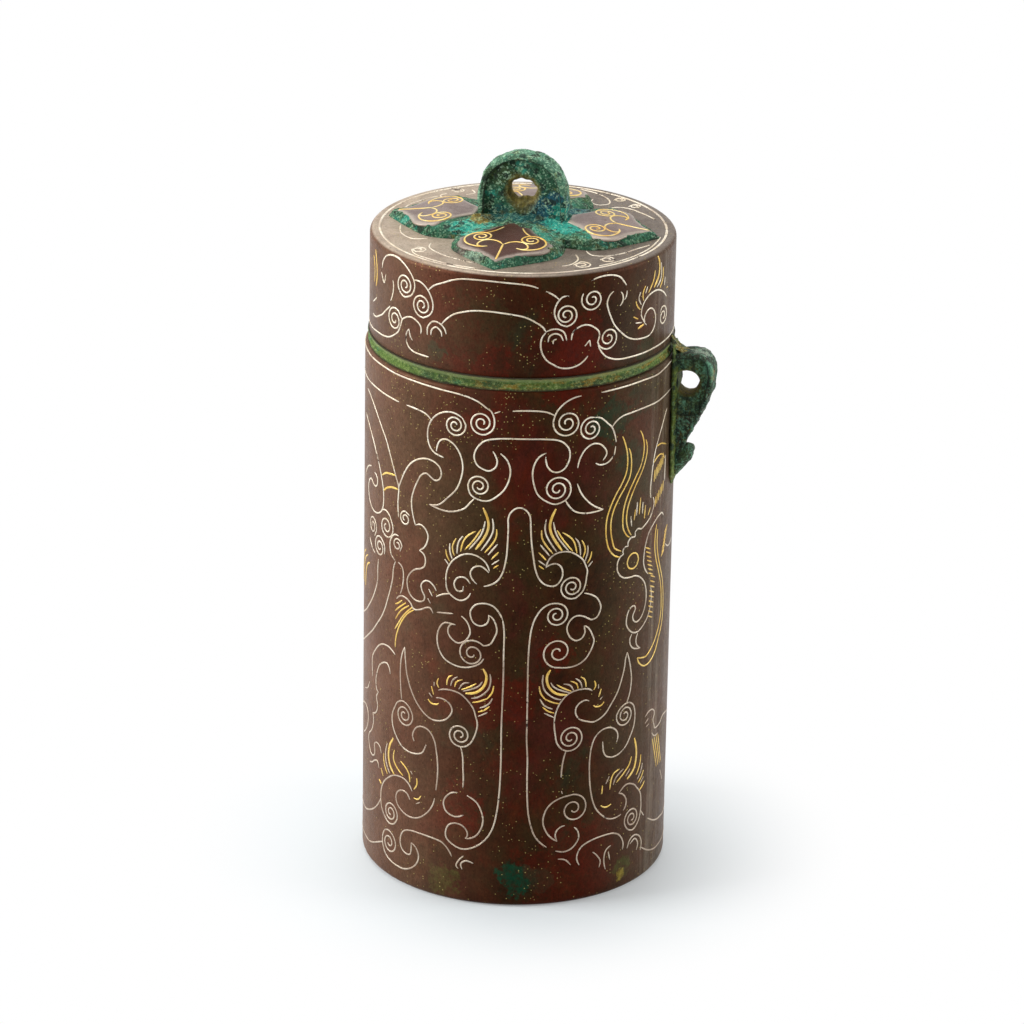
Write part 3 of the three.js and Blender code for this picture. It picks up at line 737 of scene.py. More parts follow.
bodyLongLines = [
    wire((7.4, 59.7), (6, 59.7), (4.7, 59), (3.95, 58.1), (3.2, 56.7), (2.7, 54.95), (2.4, 52.6), (2.2, 48.6),
         (2.2, 44.7), (2.2, 36), (2.2, 33.4), (2.4, 29.4), (2.4, 25.5), (2.5, 21.5), (2.7, 18.9), (3.2, 16.3),
         (3.95, 14.2), (5, 12.8), (6.2, 11.8), None, (7.9, 10.9), (9.5, 10.55), (10.8, 10.9), (11.8, 11.8),
         (12.4, 13.1), (12.1, 14.4), (11.4, 15.2), None, (9.6, 15.8), (8.8, 15.6), (8.15, 15.1), (7.8, 14.2),
         (8.15, 12.8), (8.15, 12.8), (6.84, 13.8), (6.05, 14.95), (5.5, 16.5), (5.5, 17.8), (6.05, 19.4),
         (7.1, 20.6), (8.7, 21.4), (10.3, 21.7), startCoil=(7.2, 57.4, 3, -1), coil=(11.2, 18.9, 2.6, -1)),
    wire((-2.5, 56.7), (-3, 57.8), (-4.2, 59.2), (-5.8, 59.6), (-7.4, 59.2), (-8.3, 58.1), (-8.4, 57.05),
         (-7.8, 55.7), (-6.6, 55.2), (-5.4, 55.7), (-5, 56.7), (-5.05, 57.4), (-5.05, 57.4), (-4.3, 56.9),
         (-3.7, 55.7), (-3.5, 54.4), (-3.95, 53.1), (-4.7, 51.8), (-5.9, 51.4), coil=(-8, 49.6, 2.8, 1)),
    wire((-2.5, 56.7), (-2.2, 54.7), (-2.2, 50), (-2.2, 44.7), (-2.4, 36), (-2.4, 28.1), (-2.6, 22.8),
         (-3, 18.9), (-3.7, 15.7), (-4.9, 13.4), (-6.6, 11.8), (-8.2, 11), (-9.7, 10.8), (-11.3, 11.4),
         (-12.5, 12.4), (-12.7, 13.6), (-12.1, 15.1), (-10.8, 15.7), (-9.5, 15.5), (-8.55, 14.55),
         (-8.4, 13.6), (-8.8, 13), (-8.8, 13), (-8, 13.1), (-6.8, 13.8), (-5.9, 15.2), (-5.5, 17.05),
         (-5.9, 18.9), (-6.8, 20.5), (-8.55, 21.6), None, (-10.4, 21.9), (-11.8, 21.5), (-12.9, 20.3),
         (-13.2, 19.2), (-12.6, 17.7), (-10.8, 17), (-9.2, 17.6)),
]

bodyMidPlumes = [
    wire((14.5, 41.7), (13.7, 42.2), (12.4, 42.4), (11.05, 42.3), (9.7, 41.8), (8.55, 40.7), (7.8, 39.4),
         (7.3, 37.8), (7.2, 36), (7.4, 34.2), (7.8, 32.3), (8.7, 31.1), (9.7, 30.6),
         coil=(10.3, 33.1, 3.3, 1)),
    wire((9.5, 30.6), (9.1, 29.2), (8.8, 27.3), (8.7, 25.5), None, (8.8, 22.8), (9, 22.2)),
    wire((-14.5, 41.3), (-13.4, 41.7), (-11.6, 41.8), (-10, 41.4), (-8.55, 40.2), (-7.6, 38.9), (-7.1, 37.3),
         (-6.8, 36), (-7.1, 34.2), (-7.9, 32.3), (-8.9, 31.3), (-10, 31.05), coil=(-10.1, 33.3, 3, -1)),
    wire((-9.9, 31), (-9.5, 29.2), (-9.4, 26.8), (-9.3, 24.7), (-9.4, 23.1)),
]

bodyLowScrolls = [
    wire((13.9, 39.8), (13.2, 40.1), (12.1, 39.8), (11.3, 38.9), (11.3, 37.6), (12.1, 36.5), (13.4, 35.9),
         (15, 35.5), (17.2, 36.4), (18.7, 38.1), (20.2, 40.2), (21.2, 42.6), (21.8, 44.7), (22, 46.3),
         (22.4, 47.3), (22.4, 47.3), (23.1, 45.2), (23.5, 43.4), (23.7, 41.8), (23.5, 39.7), (23.1, 38.4),
         (22.55, 37.3)),
    wire((21.9, 28.2), (22.8, 28.9), (23.7, 30.2), (24.7, 32.05), (25, 33.9), (24.8, 35.5), (24.3, 36.5),
         (23.2, 37.2), (22.2, 37.2), (20.8, 36.5), (20.1, 35.5), coil=(22.2, 35, 2.9, 1)),
    wire((17, 31.1), (17.1, 29.95), (17.3, 28.9), (17.9, 28), (19.3, 27.5), (20.6, 27.6), (21.9, 28.2)),
    wire((20.2, 30.2), (20.5, 30.9), (20.4, 32.05), (19.5, 33.1), (18.2, 33.6), (16.6, 33.4), (15.3, 32.3),
         (14.6, 30.5), (14.3, 28.1), (14.3, 25.5), (14.5, 22.8), (15, 20.2), (15.8, 18.1), (17.2, 16.4),
         (18.7, 15.3), (20.3, 15), (21.8, 15.3), None, (22.4, 15.9), (22.9, 16.5), (23.1, 17.8),
         (22.2, 19.2), (21.1, 19.7)),
    wire((21.1, 19.7), (23.1, 20.9), (25.2, 20.2), (26.2, 19.2), (27.3, 17.8), (27.6, 16.3), (27.6, 14.4),
         (26.9, 12.3), (25.3, 11.1), (23.7, 11.7), (22.8, 13.1), coil=(24.8, 13.6, 2.8, -1)),
    wire((27.7, 14), (28.7, 12.7), None, (30.3, 11.5), (32.4, 10.3), (34.5, 9.55), (36.9, 9.2), (38.7, 8.9),
         (44, 9.1), (49.9, 9.4)),
    wire((12.6, 7.4), (12.1, 8.6), (12.2, 9.7), (12.9, 10.9), (13.9, 11.5), (15.6, 12), (18.2, 12.2),
         (20.05, 12), (21.4, 11.3), (22.3, 10.1), (22.6, 8.9), (22.4, 8)),
    wire((15.4, 9.4), (16.4, 8.4), (17.1, 7.2), (16.8, 6)),
    wire((19.4, 9.7), (18.3, 9), (17.9, 7.3), (18.3, 5.2)),
    wire((18.9, 8.6), (19.3, 6.9)),
    wire((8.4, 9.2), (9.7, 8.9), (10.9, 7.7)),
    wire((23.7, 7.8), (24.5, 9.3), (25.8, 9.8), (27.4, 9), (28.1, 7.6), (27.8, 6)),
    wire((24.5, 8.4), (26, 9), (26.9, 7.7), (26.5, 6.5)),
    wire((28.2, 6.4), (29.5, 5.5), (31.1, 4.7), (33.5, 4), (36.4, 3.8), (45, 3.8), (53.5, 3.95)),
    wire((-15, 39.7), (-13.7, 39.8), (-12.4, 39.3), (-11.7, 38.1), (-12.1, 36.8), (-13.4, 35.6),
         (-15.6, 35.2), (-17.4, 35.9), (-19.3, 37.6), (-20.8, 39.95), (-21.8, 42.6), (-22.2, 45.2),
         (-22.4, 47.6), (-22.4, 47.6), (-23.1, 46), (-23.5, 43.4), (-23.5, 40.7), (-23.1, 37.05)),
    wire((-17, 29.9), (-17.3, 29.2), (-17.9, 28.1), (-19.3, 27.45), (-21.1, 27.3), (-22.9, 27.8),
         (-24.5, 29.2), (-25.6, 31), (-25.8, 33.1), (-25.05, 34.9), (-24.2, 36.2), (-22.8, 36.8),
         (-21.3, 36.3), (-20.3, 34.9), coil=(-22.4, 34.2, 2.9, -1)),
    wire((-19.8, 29.8), (-20.2, 31), (-19.3, 32.7), (-17.9, 33.2), (-16.4, 32.8), (-15.3, 31.3),
         (-14.8, 29.2), (-14.5, 26.8), (-14.5, 24.2), (-14.8, 21.4), None, (-15.05, 19.7), (-15.7, 17.8),
         (-17.2, 15.9), (-19, 14.7), (-21.1, 14.4), (-22.9, 14.95), (-24.1, 15.9), (-24.5, 17.2),
         (-24, 18.4), (-22.9, 19), (-21.6, 18.9), (-20.7, 17.8)),
    wire((-20.2, 19.7), (-21.1, 20.9), (-22.4, 21.5), (-24, 21.5), (-25.6, 21), (-27.2, 19.9), (-28.5, 18.6),
         (-29.3, 17.05), (-29.5, 15.5), (-29.3, 13.6), (-28.2, 12.05), (-26.6, 11.1), (-25.05, 11.5),
         (-24.1, 12.8), coil=(-26.1, 13.4, 2.8, 1)),
    wire((-29.5, 14.95), (-30.8, 13.1), (-32.7, 11.5), (-35.05, 10.3), (-37.2, 9.55), (-38.7, 9.4)),
    wire((-11.4, 8.9), (-12.1, 10.1), (-13.4, 11.3), (-15, 11.65), (-18.7, 11.8), (-20.8, 11.65),
         (-22.2, 11.1), (-22.9, 10.2), (-23.2, 8.6), (-22.7, 7.3), (-21.6, 6.7), (-20.6, 6.9),
         (-20.3, 9.3), (-20.3, 9.3), (-19.1, 8.6), (-18.5, 7.05), (-19, 5.5), (-20.3, 4.2), (-22.2, 3.4),
         (-24.3, 3.4), (-26.4, 3.8), (-27.9, 4.7), (-28.7, 6.3), (-28.7, 7.8), (-27.9, 9.2), (-26.6, 9.55),
         (-25.2, 8.9), coil=(-26.5, 7.2, 2.4, -1)),
    wire((-28.7, 6.5), (-30.8, 5.5), (-32.9, 4.55), (-35.05, 3.95)),
    wire((-9.1, 9.4), (-10, 8.4), (-10.5, 7.3), (-10.1, 6.7)),
    wire((-7.2, 8.2), (-8.7, 8.5), (-9.6, 7.7), (-9.3, 6.7)),
]

# Feathers run from the tip to the root. The left plume mirrors the right one.
upperFeathers = {
    "silver": [
        wire((3.7, 68.2), (5, 67.2)), wire((4, 71.2), (5.7, 69)), wire((5, 76), (4.9, 73.5), (7, 69.7)),
        wire((6.3, 75.4), (7, 72.8), (9.2, 69.7)), wire((10.4, 72), (11.2, 70.8), (11.5, 68.5)),
        wire((12.9, 70.2), (12.9, 68.8), (12.4, 67.3)), wire((13.9, 67), (13.1, 66.1)),
    ],
    "gold": [
        wire((3.8, 67.2), (4.7, 66.5)), wire((3.8, 69.7), (5.1, 68.2)),
        wire((4.2, 74), (4.4, 72.2), (6.3, 69.4)),
        wire((6.7, 77.9), (5.7, 74.3), (8, 69.8), width=1.6), wire((7, 73.8), (8.2, 71.8), (10, 69.5)),
        wire((8, 73.3), (10, 71.6), (10.8, 69)), wire((11.7, 71.4), (12.4, 69.6), (12, 68)),
        wire((13.7, 68.9), (13.5, 67.8), (12.9, 66.8)),
    ],
}
middleFeathers = {
    "silver": [
        wire((5.3, 38.5), (7.1, 37.5)), wire((4.5, 41.3), (5.3, 40), (6.8, 39.2)),
        wire((5, 46), (4.9, 44.4), (5.4, 42.8), (7.1, 41.3), (8.4, 40.9)),
        wire((6.4, 44.4), (7.1, 43.4), (10, 42.05)), wire((8.8, 43.9), (10, 43.5), (10.8, 42.3)),
        wire((11.05, 44.7), (12, 43.9), (12.4, 42.7)), wire((15.8, 42.7), (15.8, 41.9)),
        wire((16.9, 40.3), (16.2, 39.6)),
    ],
    "gold": [
        wire((5, 39.7), (6.05, 38.8), (7.1, 38.4)), wire((5.3, 41.3), (6.8, 40.5), (8.2, 40.1)),
        wire((4.3, 43.8), (4.6, 42.4), (5.6, 41)),
        wire((6.3, 46.9), (5.66, 45.5), (6.05, 43.6), (7.4, 42.2), (9.5, 41.7), width=1.6),
        wire((7.5, 43.9), (8.7, 43.1), (10.3, 42.3)), wire((10.1, 44.3), (11.3, 43.6), (11.6, 42.6)),
        wire((12.1, 44.8), (12.9, 44.2), (13.2, 42.7)), wire((14.9, 43.6), (15.2, 42.6), (14.8, 41.8)),
        wire((16.4, 41.7), (15.9, 40.2)), wire((17.1, 39), (16.4, 38.4), (15.3, 38.4), (14.8, 38.8)),
    ],
}
lowFeathers = {
    "silver": [
        wire((18.7, 23.8), (17.95, 22.45)), wire((22.2, 24.3), (20.3, 23.1), (19.7, 21.8)),
        wire((24, 23.8), (22.8, 22.6)), wire((27.8, 23.6), (27.2, 22.05), (26.2, 20.9)),
        wire((28.3, 20.7), (27.2, 19.7)), wire((-27.3, 26.9), (-27.9, 24.7), (-27.6, 22.8), (-26.4, 21.1)),
        wire((-20.6, 23.6), (-20.2, 23.1)), wire((-18.3, 18), (-19.2, 17.5)),
    ],
    "gold": [
        wire((17.2, 22.3), (17.1, 20.7)), wire((21.1, 24.55), (19.6, 23.9), (18.9, 21.1)),
        wire((24.3, 26.1), (23.7, 24.7), (22.4, 23.5), (20.4, 22.05)),
        wire((25, 29.55), (25.6, 27.6), (25.7, 25.5), (25.05, 23.4), (23.2, 21.9), width=1.6),
        wire((27.2, 25.5), (26.8, 23.4), (25.8, 21.9)), wire((28.2, 22.05), (27.6, 21), (26.5, 20.1)),
        wire((28.7, 19.7), (27.9, 18.9), (26.9, 18.4)), wire((16.9, 18.4), (17.95, 17.8), (19.3, 18.1)),
        wire((-25.4, 28.5), (-26.5, 26.8), (-26.9, 24.7), (-26.4, 22.8), (-25.05, 21.4), width=1.6),
        wire((-28.5, 24.4), (-28.4, 22.6), (-27.2, 20.7)),
        wire((-25.05, 26.3), (-25.3, 24.4), (-24.3, 23.1), (-22.6, 22.05)),
        wire((-23.3, 24.7), (-21.9, 23.9), (-21, 22.8), (-20.8, 21.3)),
        wire((-19.1, 22.6), (-19.1, 21.3), (-19.8, 20.2)), wire((-18.1, 19.4), (-18.8, 18.5), (-19.8, 18.5)),
        wire((-29.5, 21), (-28.7, 19.7)), wire((-30.3, 18.5), (-29.3, 17.8)),
    ],
}

# The phoenix's head, at the right
phoenixHeadSilver = [
    wire((29, 75.5), (29.4, 74.5), (29, 73), (28, 71.75), (26.5, 70.9), (25.4, 70.5), (24.5, 70.8),
         (23.6, 70.3), (23.6, 70.3), (23.7, 69.55), (22.55, 69.55), (21.9, 68.9), (21.9, 68.1), (21.9, 68.1),
         (21, 68.1), (20.6, 67.4), (20.8, 66.9), (20.8, 66.9), (19.9, 66.4), (19.4, 65.5), (19.4, 64.2),
         (19.9, 63.1), (21.1, 62.2), (22.7, 61.9), (24.1, 61.8), (25.6, 61), (26.8, 59.7), (27.4, 58.1),
         (27.5, 56.5), (27.2, 54.95), (26.5, 53.6), (25.6, 52.8), (24.7, 52.6), (23.9, 53.1), (23.6, 54),
         (24, 54.8), (24.3, 55.3), (24.1, 55.9), (23.5, 56.05), (22.55, 55.5), (22, 54.2), (22, 52.8),
         (22.8, 51.5), (24, 50.7), (25.3, 50.6), (26.9, 51.4), (28.2, 52.6), (29.1, 54.4), (29.3, 56.3),
         (29.05, 58.1)),
    wire((23.5, 50.6), (23, 49.7), (23.2, 48.5), (24.1, 47.6), (26, 47.1), (26, 47.1), (24.9, 48.1),
         (24.7, 49.2), (25.2, 50.3)),
    wire((27.9, 61), (26.9, 62.2), (26.4, 63.6), (26.5, 65.5), (26.9, 67.05), (27.8, 68.9), (29.3, 70.1),
         (30.8, 70.9), (32.75, 71.25), (33.6, 70.5)),
    wire((22.4, 73.75), (22.7, 71.75)), wire((24.1, 76), (23.9, 73.5)), wire((25.7, 75.6), (25.6, 73.4)),
    wire((28.2, 75.6), (28, 77.25), (28.3, 79.75), (28.75, 82.25), (29.5, 84.5), (30.5, 86.25),
         (31.5, 87.75), (32.75, 89.5), (34, 91)),
    wire((33.9, 82), (33.7, 77)),
    wire((35.05, 64.4), (36.6, 63.4), (38.2, 63.1), (40.5, 63.6)),
    wire((28.3, 32.6), (29.5, 33.2), (30.8, 33.2), (31.8, 32.6), (31.9, 31.8), (31.4, 30.9), (31.9, 29.8),
         (32.2, 29), (33.5, 28.8), (35.05, 29), (36.6, 29.7), (40.5, 29), (44.6, 27.6)),
    wire((28.3, 31.3), (29.5, 31.9)), wire((28.7, 30.5), (29.7, 30.7)),
    wire((31.1, 28.4), (32.2, 27.4), (34, 27.3)), wire((35.9, 19), (37.5, 16.5)),
]
phoenixHeadGold = [
    wire((19.9, 89.6), (20.5, 88.25), (21.1, 86.25), (21.25, 84.25), (20.9, 82.25), (19.9, 80.5),
         (18.6, 78.75), (17.4, 76.5), (16.75, 74.5), (16.6, 72.25), (16.8, 70.5), (17.4, 68.6),
         (18.7, 67.05), (20.05, 66.5)),
    wire((21.5, 87), (22, 85.75), (22.25, 83.75), (21.9, 81.5), (20.75, 79.75), (19.4, 78), (18.25, 76),
         (17.7, 74), (17.7, 72), (18.1, 70), (18.6, 68.6), (20.2, 67.6)),
    wire((24.4, 89.6), (25.1, 88.5), (25.6, 86.75), (25.5, 84.75), (24.75, 82.75), (23.25, 80.75),
         (21.75, 78.5), (20.75, 76.25), (20.4, 74), (20.6, 71.75), (21.6, 70.2), (22.2, 69.8)),
    wire((26.1, 87.4), (26.6, 85.75), (26.25, 83.75), (25.25, 81.75), (23.75, 79.75), (22.5, 77.75),
         (21.6, 75.75), (21.3, 73.5), (21.75, 71.5), (22.6, 70.1)),
    ring((23.3, 64.9), 1.5),
    wire((30.7, 69.7), (30.2, 67.6), (30.2, 64.95), (30.8, 62.8), (32.2, 59.7), (33.3, 56.8), (33.7, 54.2),
         (33.7, 51.5), (32.9, 49.2), (31.1, 46.8), (29.5, 45.5), (27.9, 44.8), (26.4, 45), (25.2, 45.4),
         (25.2, 45.4), (25.8, 44.2), (27.4, 43.1), (29.3, 43.2), (31.4, 44.55), (32.9, 46.8), (34.3, 48.9),
         (34.8, 51.5), (34.7, 54.7), (34, 57.8), (32.7, 60.7), (31.5, 63.6), (31.05, 66.3), (31.2, 68.6)),
    wire((23.6, 74.75), (23.3, 72.75)), wire((25, 76.6), (24.7, 73.5)), wire((26.5, 74.75), (26.25, 72.25)),
    wire((28.1, 73.75), (27.4, 72.5)), wire((29, 82.1), (30, 82.75), (31.25, 83), (32.5, 82.6), (33.5, 81.5)),
    wire((30, 84.95), (31.5, 85), (32.75, 84.6), (34, 84.1)),
]
# Short gold hatches stand in rows: first hatch, last hatch, how many, and the stroke's own run
hatchRows = [
    {"first": (26.9, 66.4), "last": (28.1, 61.1), "count": 7, "run": (1.6, -0.8)},
    {"first": (28.9, 60.3), "last": (28.3, 52.6), "count": 9, "run": (1.6, -0.8)},
    {"first": (29.2, 78.4), "last": (32.6, 80.6), "count": 7, "run": (0.2, 2.2)},
    {"first": (29.8, 73.4), "last": (33, 75.4), "count": 6, "run": (0.1, 1.9)},
    {"first": (33, 62.6), "last": (34.6, 66.8), "count": 7, "run": (1.5, 0.9)},
    {"first": (31.4, 27.05), "last": (34, 27), "count": 4, "run": (2.2, -6.4)},
]


def hatches(rows):
    made = []
    for row in rows:
        for share in np.linspace(0, 1, row["count"]):
            foot = (1 - share) * np.array(row["first"]) + share * np.array(row["last"])
            made.append(wire(tuple(foot), tuple(foot + np.array(row["run"]))))
    return made


# The phoenix's body and tail, at the left and, half way round, behind the head
phoenixBodySilver = [
    wire((-37.75, 92.4), (-36.5, 92.1), (-34.75, 91.4), (-33, 90.25), (-31.25, 88.75), (-29.75, 87.25),
         (-28.4, 85.75), (-27.25, 83.75), (-26.1, 81.5), (-25.1, 79.5), (-24.4, 78), (-24.5, 76.4),
         (-24.6, 74.75), (-24.4, 72.25)),
    wire((-39.5, 87.1), (-37.5, 86.5), (-35.75, 85.4), (-34, 84), (-32.5, 82.25), (-31.25, 80.5),
         (-30.25, 78.5), (-29.5, 76.5), (-29.2, 74.5), (-29.4, 72.75), (-30, 71.6), (-31.25, 70.75),
         (-32.75, 70.4), (-34.25, 70.6), (-35.75, 71.5), (-36.6, 73), (-36.6, 74.5), (-35.75, 75.75),
         (-34.6, 76.05), (-33.9, 75.6), (-32.75, 75.4), (-31.9, 76), (-31.75, 77), (-32.4, 77.75),
         (-33.1, 77.9)),
    wire((-35, 78.5), (-36.75, 77.9), (-38.25, 76.75), (-39.25, 75.5), (-39.75, 74)),
    wire((-24.4, 78), (-23.75, 79.5), (-22.9, 81.25), (-21.5, 83.25), (-19.75, 84.6), (-17.75, 85.25),
         (-16, 85.1), (-14.75, 84.25), (-14.4, 83), (-14.9, 81.9), (-15.75, 81.6), (-16.75, 82.1),
         (-17.6, 82.5), (-18.75, 81.9), (-19.6, 80.5), (-20.5, 78.5), (-21, 76.5), (-20.75, 74.25),
         (-20, 72), (-20, 72), (-18.75, 72.4), (-17.75, 71.9), (-17.1, 70.75), (-17.2, 69.7), (-17.8, 68.4),
         (-19, 67.4), (-19, 67.4), (-17.9, 66.8), (-17.6, 65.6), (-17.9, 64.55), (-18.7, 63.95),
         (-19.9, 63.5), (-21, 62.6), (-21.8, 61.3), (-21.9, 59.95), (-21.4, 58.6), (-20.3, 57.7),
         (-19, 57.5), (-17.9, 58), (-17.7, 58.8), (-18.3, 59.8), (-18.5, 60.9), (-17.9, 61.7),
         (-16.9, 62), (-15.8, 61.4), (-15.2, 60.5)),
    wire((-16.8, 60.5), (-16, 59.3)), wire((-17, 58.6), (-16.4, 57.8)),
    wire((-21.4, 73.4), (-22.6, 73.9), coil=(-22.6, 72.5, 2.2, 1)),
    wire((-29.75, 71.9), (-28.5, 72.25), (-27.25, 71.75), (-26.5, 70.75), coil=(-28.2, 69.2, 2.8, -1)),
    wire((-24.3, 68.6), (-25.6, 68.5), (-26.8, 67.05), (-26.9, 65.7), (-26.5, 64.4), (-25.3, 63.55)),
    wire((-23.9, 65.8), (-23.4, 66.9), coil=(-24.7, 66.8, 2, 1)),
    wire((-32.9, 65.7), (-32.1, 67), coil=(-33.9, 67.4, 2.5, 1)),
    wire((-28.8, 63.6), (-28.8, 65.2), (-30.2, 66.4), coil=(-30.7, 64.4, 2.6, 1)),
    wire((-32.7, 62.45), (-34.3, 63.1), (-35.6, 64.4)),
    wire((-31.1, 61.8), (-31.4, 59.95), (-31.4, 57.8), (-32.2, 55.7), (-33.5, 53.6), (-35.6, 51.3),
         (-37.9, 49.4), (-40.8, 47.8), (-44, 46.3)),
    wire((-25.2, 63.4), (-25.8, 61.8), (-26, 59.95), (-26.5, 58.1), (-27.4, 55.7), (-28.5, 53.1),
         (-29.8, 51), (-31.4, 49.2), (-33.5, 47.05), (-36.1, 45.1), (-39.3, 43.1), (-42.4, 41.5)),
    wire((-24.4, 63.55), (-23.2, 62.8), (-22.9, 61.3), (-23.1, 59.4), (-23.7, 57.6)),
    wire((-24.8, 56.3), (-23.7, 57.2), (-22.4, 57.3), (-21.1, 56.7), (-20.2, 55.7), (-18.7, 56),
         (-17.4, 56.7), (-16.5, 56.9), (-15.8, 56)),
    wire((-25.05, 45.2), (-26.4, 45.9), (-27.9, 46.1), (-29.8, 45.6), (-31.4, 44.4), (-32.9, 42.8),
         (-33.7, 41.5), (-33.5, 37.8)),
    wire((-26.5, 40.9), (-26.9, 42.05), (-27.6, 42.6), (-28.7, 42.4), (-30.3, 41.3), (-31.4, 39.4),
         (-31.9, 37.6), (-31.5, 36), (-30.8, 35.7), (-30.8, 35.7), (-31.6, 34.4), (-31.1, 33.1),
         (-31.4, 31.8), (-32.2, 31), (-33.3, 30.6), (-33.3, 30.6), (-32.9, 29.4), (-33.2, 28.1),
         (-34, 26.8), (-35.3, 25.7), (-35.6, 24.7), (-35.05, 23.1), (-33.7, 22.05), (-32.4, 22.6),
         (-32.2, 23.6), (-32.4, 24.7), (-31.4, 25.4), (-30.05, 25.1), (-29.5, 24)),
    wire((-34.8, 20.2), (-33.5, 20.6), (-32.4, 21.4), (-31.1, 21.8), (-30.3, 20.7)),
    wire((-44, 27.6), (-41.4, 29.4), (-38.7, 30.3), (-36.9, 30.1), (-36, 28.9), (-36.4, 27.05),
         (-37.7, 25.5), (-40.05, 23.9)),
    wire((-35.3, 36), (-36.4, 34.4), (-38.7, 33.4)),
]
phoenixBodyGold = [
    wire((-29.75, 78.6), (-28.5, 79.4), (-27, 79.75), (-25.5, 79.9), width=1.3),
    wire((-29.25, 75.75), (-28.25, 76.6), (-26.75, 77.25), (-24.6, 77.5), width=1.3),
    wire((-20.2, 55.5), (-21.9, 54.2), (-23.5, 52.05), (-24.5, 49.95), (-25, 48.1), (-25.05, 46.7)),
    wire((-20.6, 55.9), (-22.9, 53.6), (-24.5, 51.3), (-25.2, 50.3)),
    wire((-21.4, 56), (-23.5, 54.4), (-25.05, 52.3)),
    wire((-22.2, 56.3), (-24, 54.9), (-25.2, 53.8)),
    wire((-23.2, 56.5), (-24.5, 55.5), (-25.1, 55.2)),
    wire((-35.6, 59.4), (-37.4, 58.4), (-38.6, 56.2), (-39, 53.6), width=1.3),
    wire((-37, 60.4), (-39.2, 59), (-40.6, 56.6), (-41.2, 53.4)),
    wire((-38.8, 60.8), (-41, 59.2), (-42.6, 56.6), (-43.4, 53)),
]


# The lid's pattern, on its side and on its top

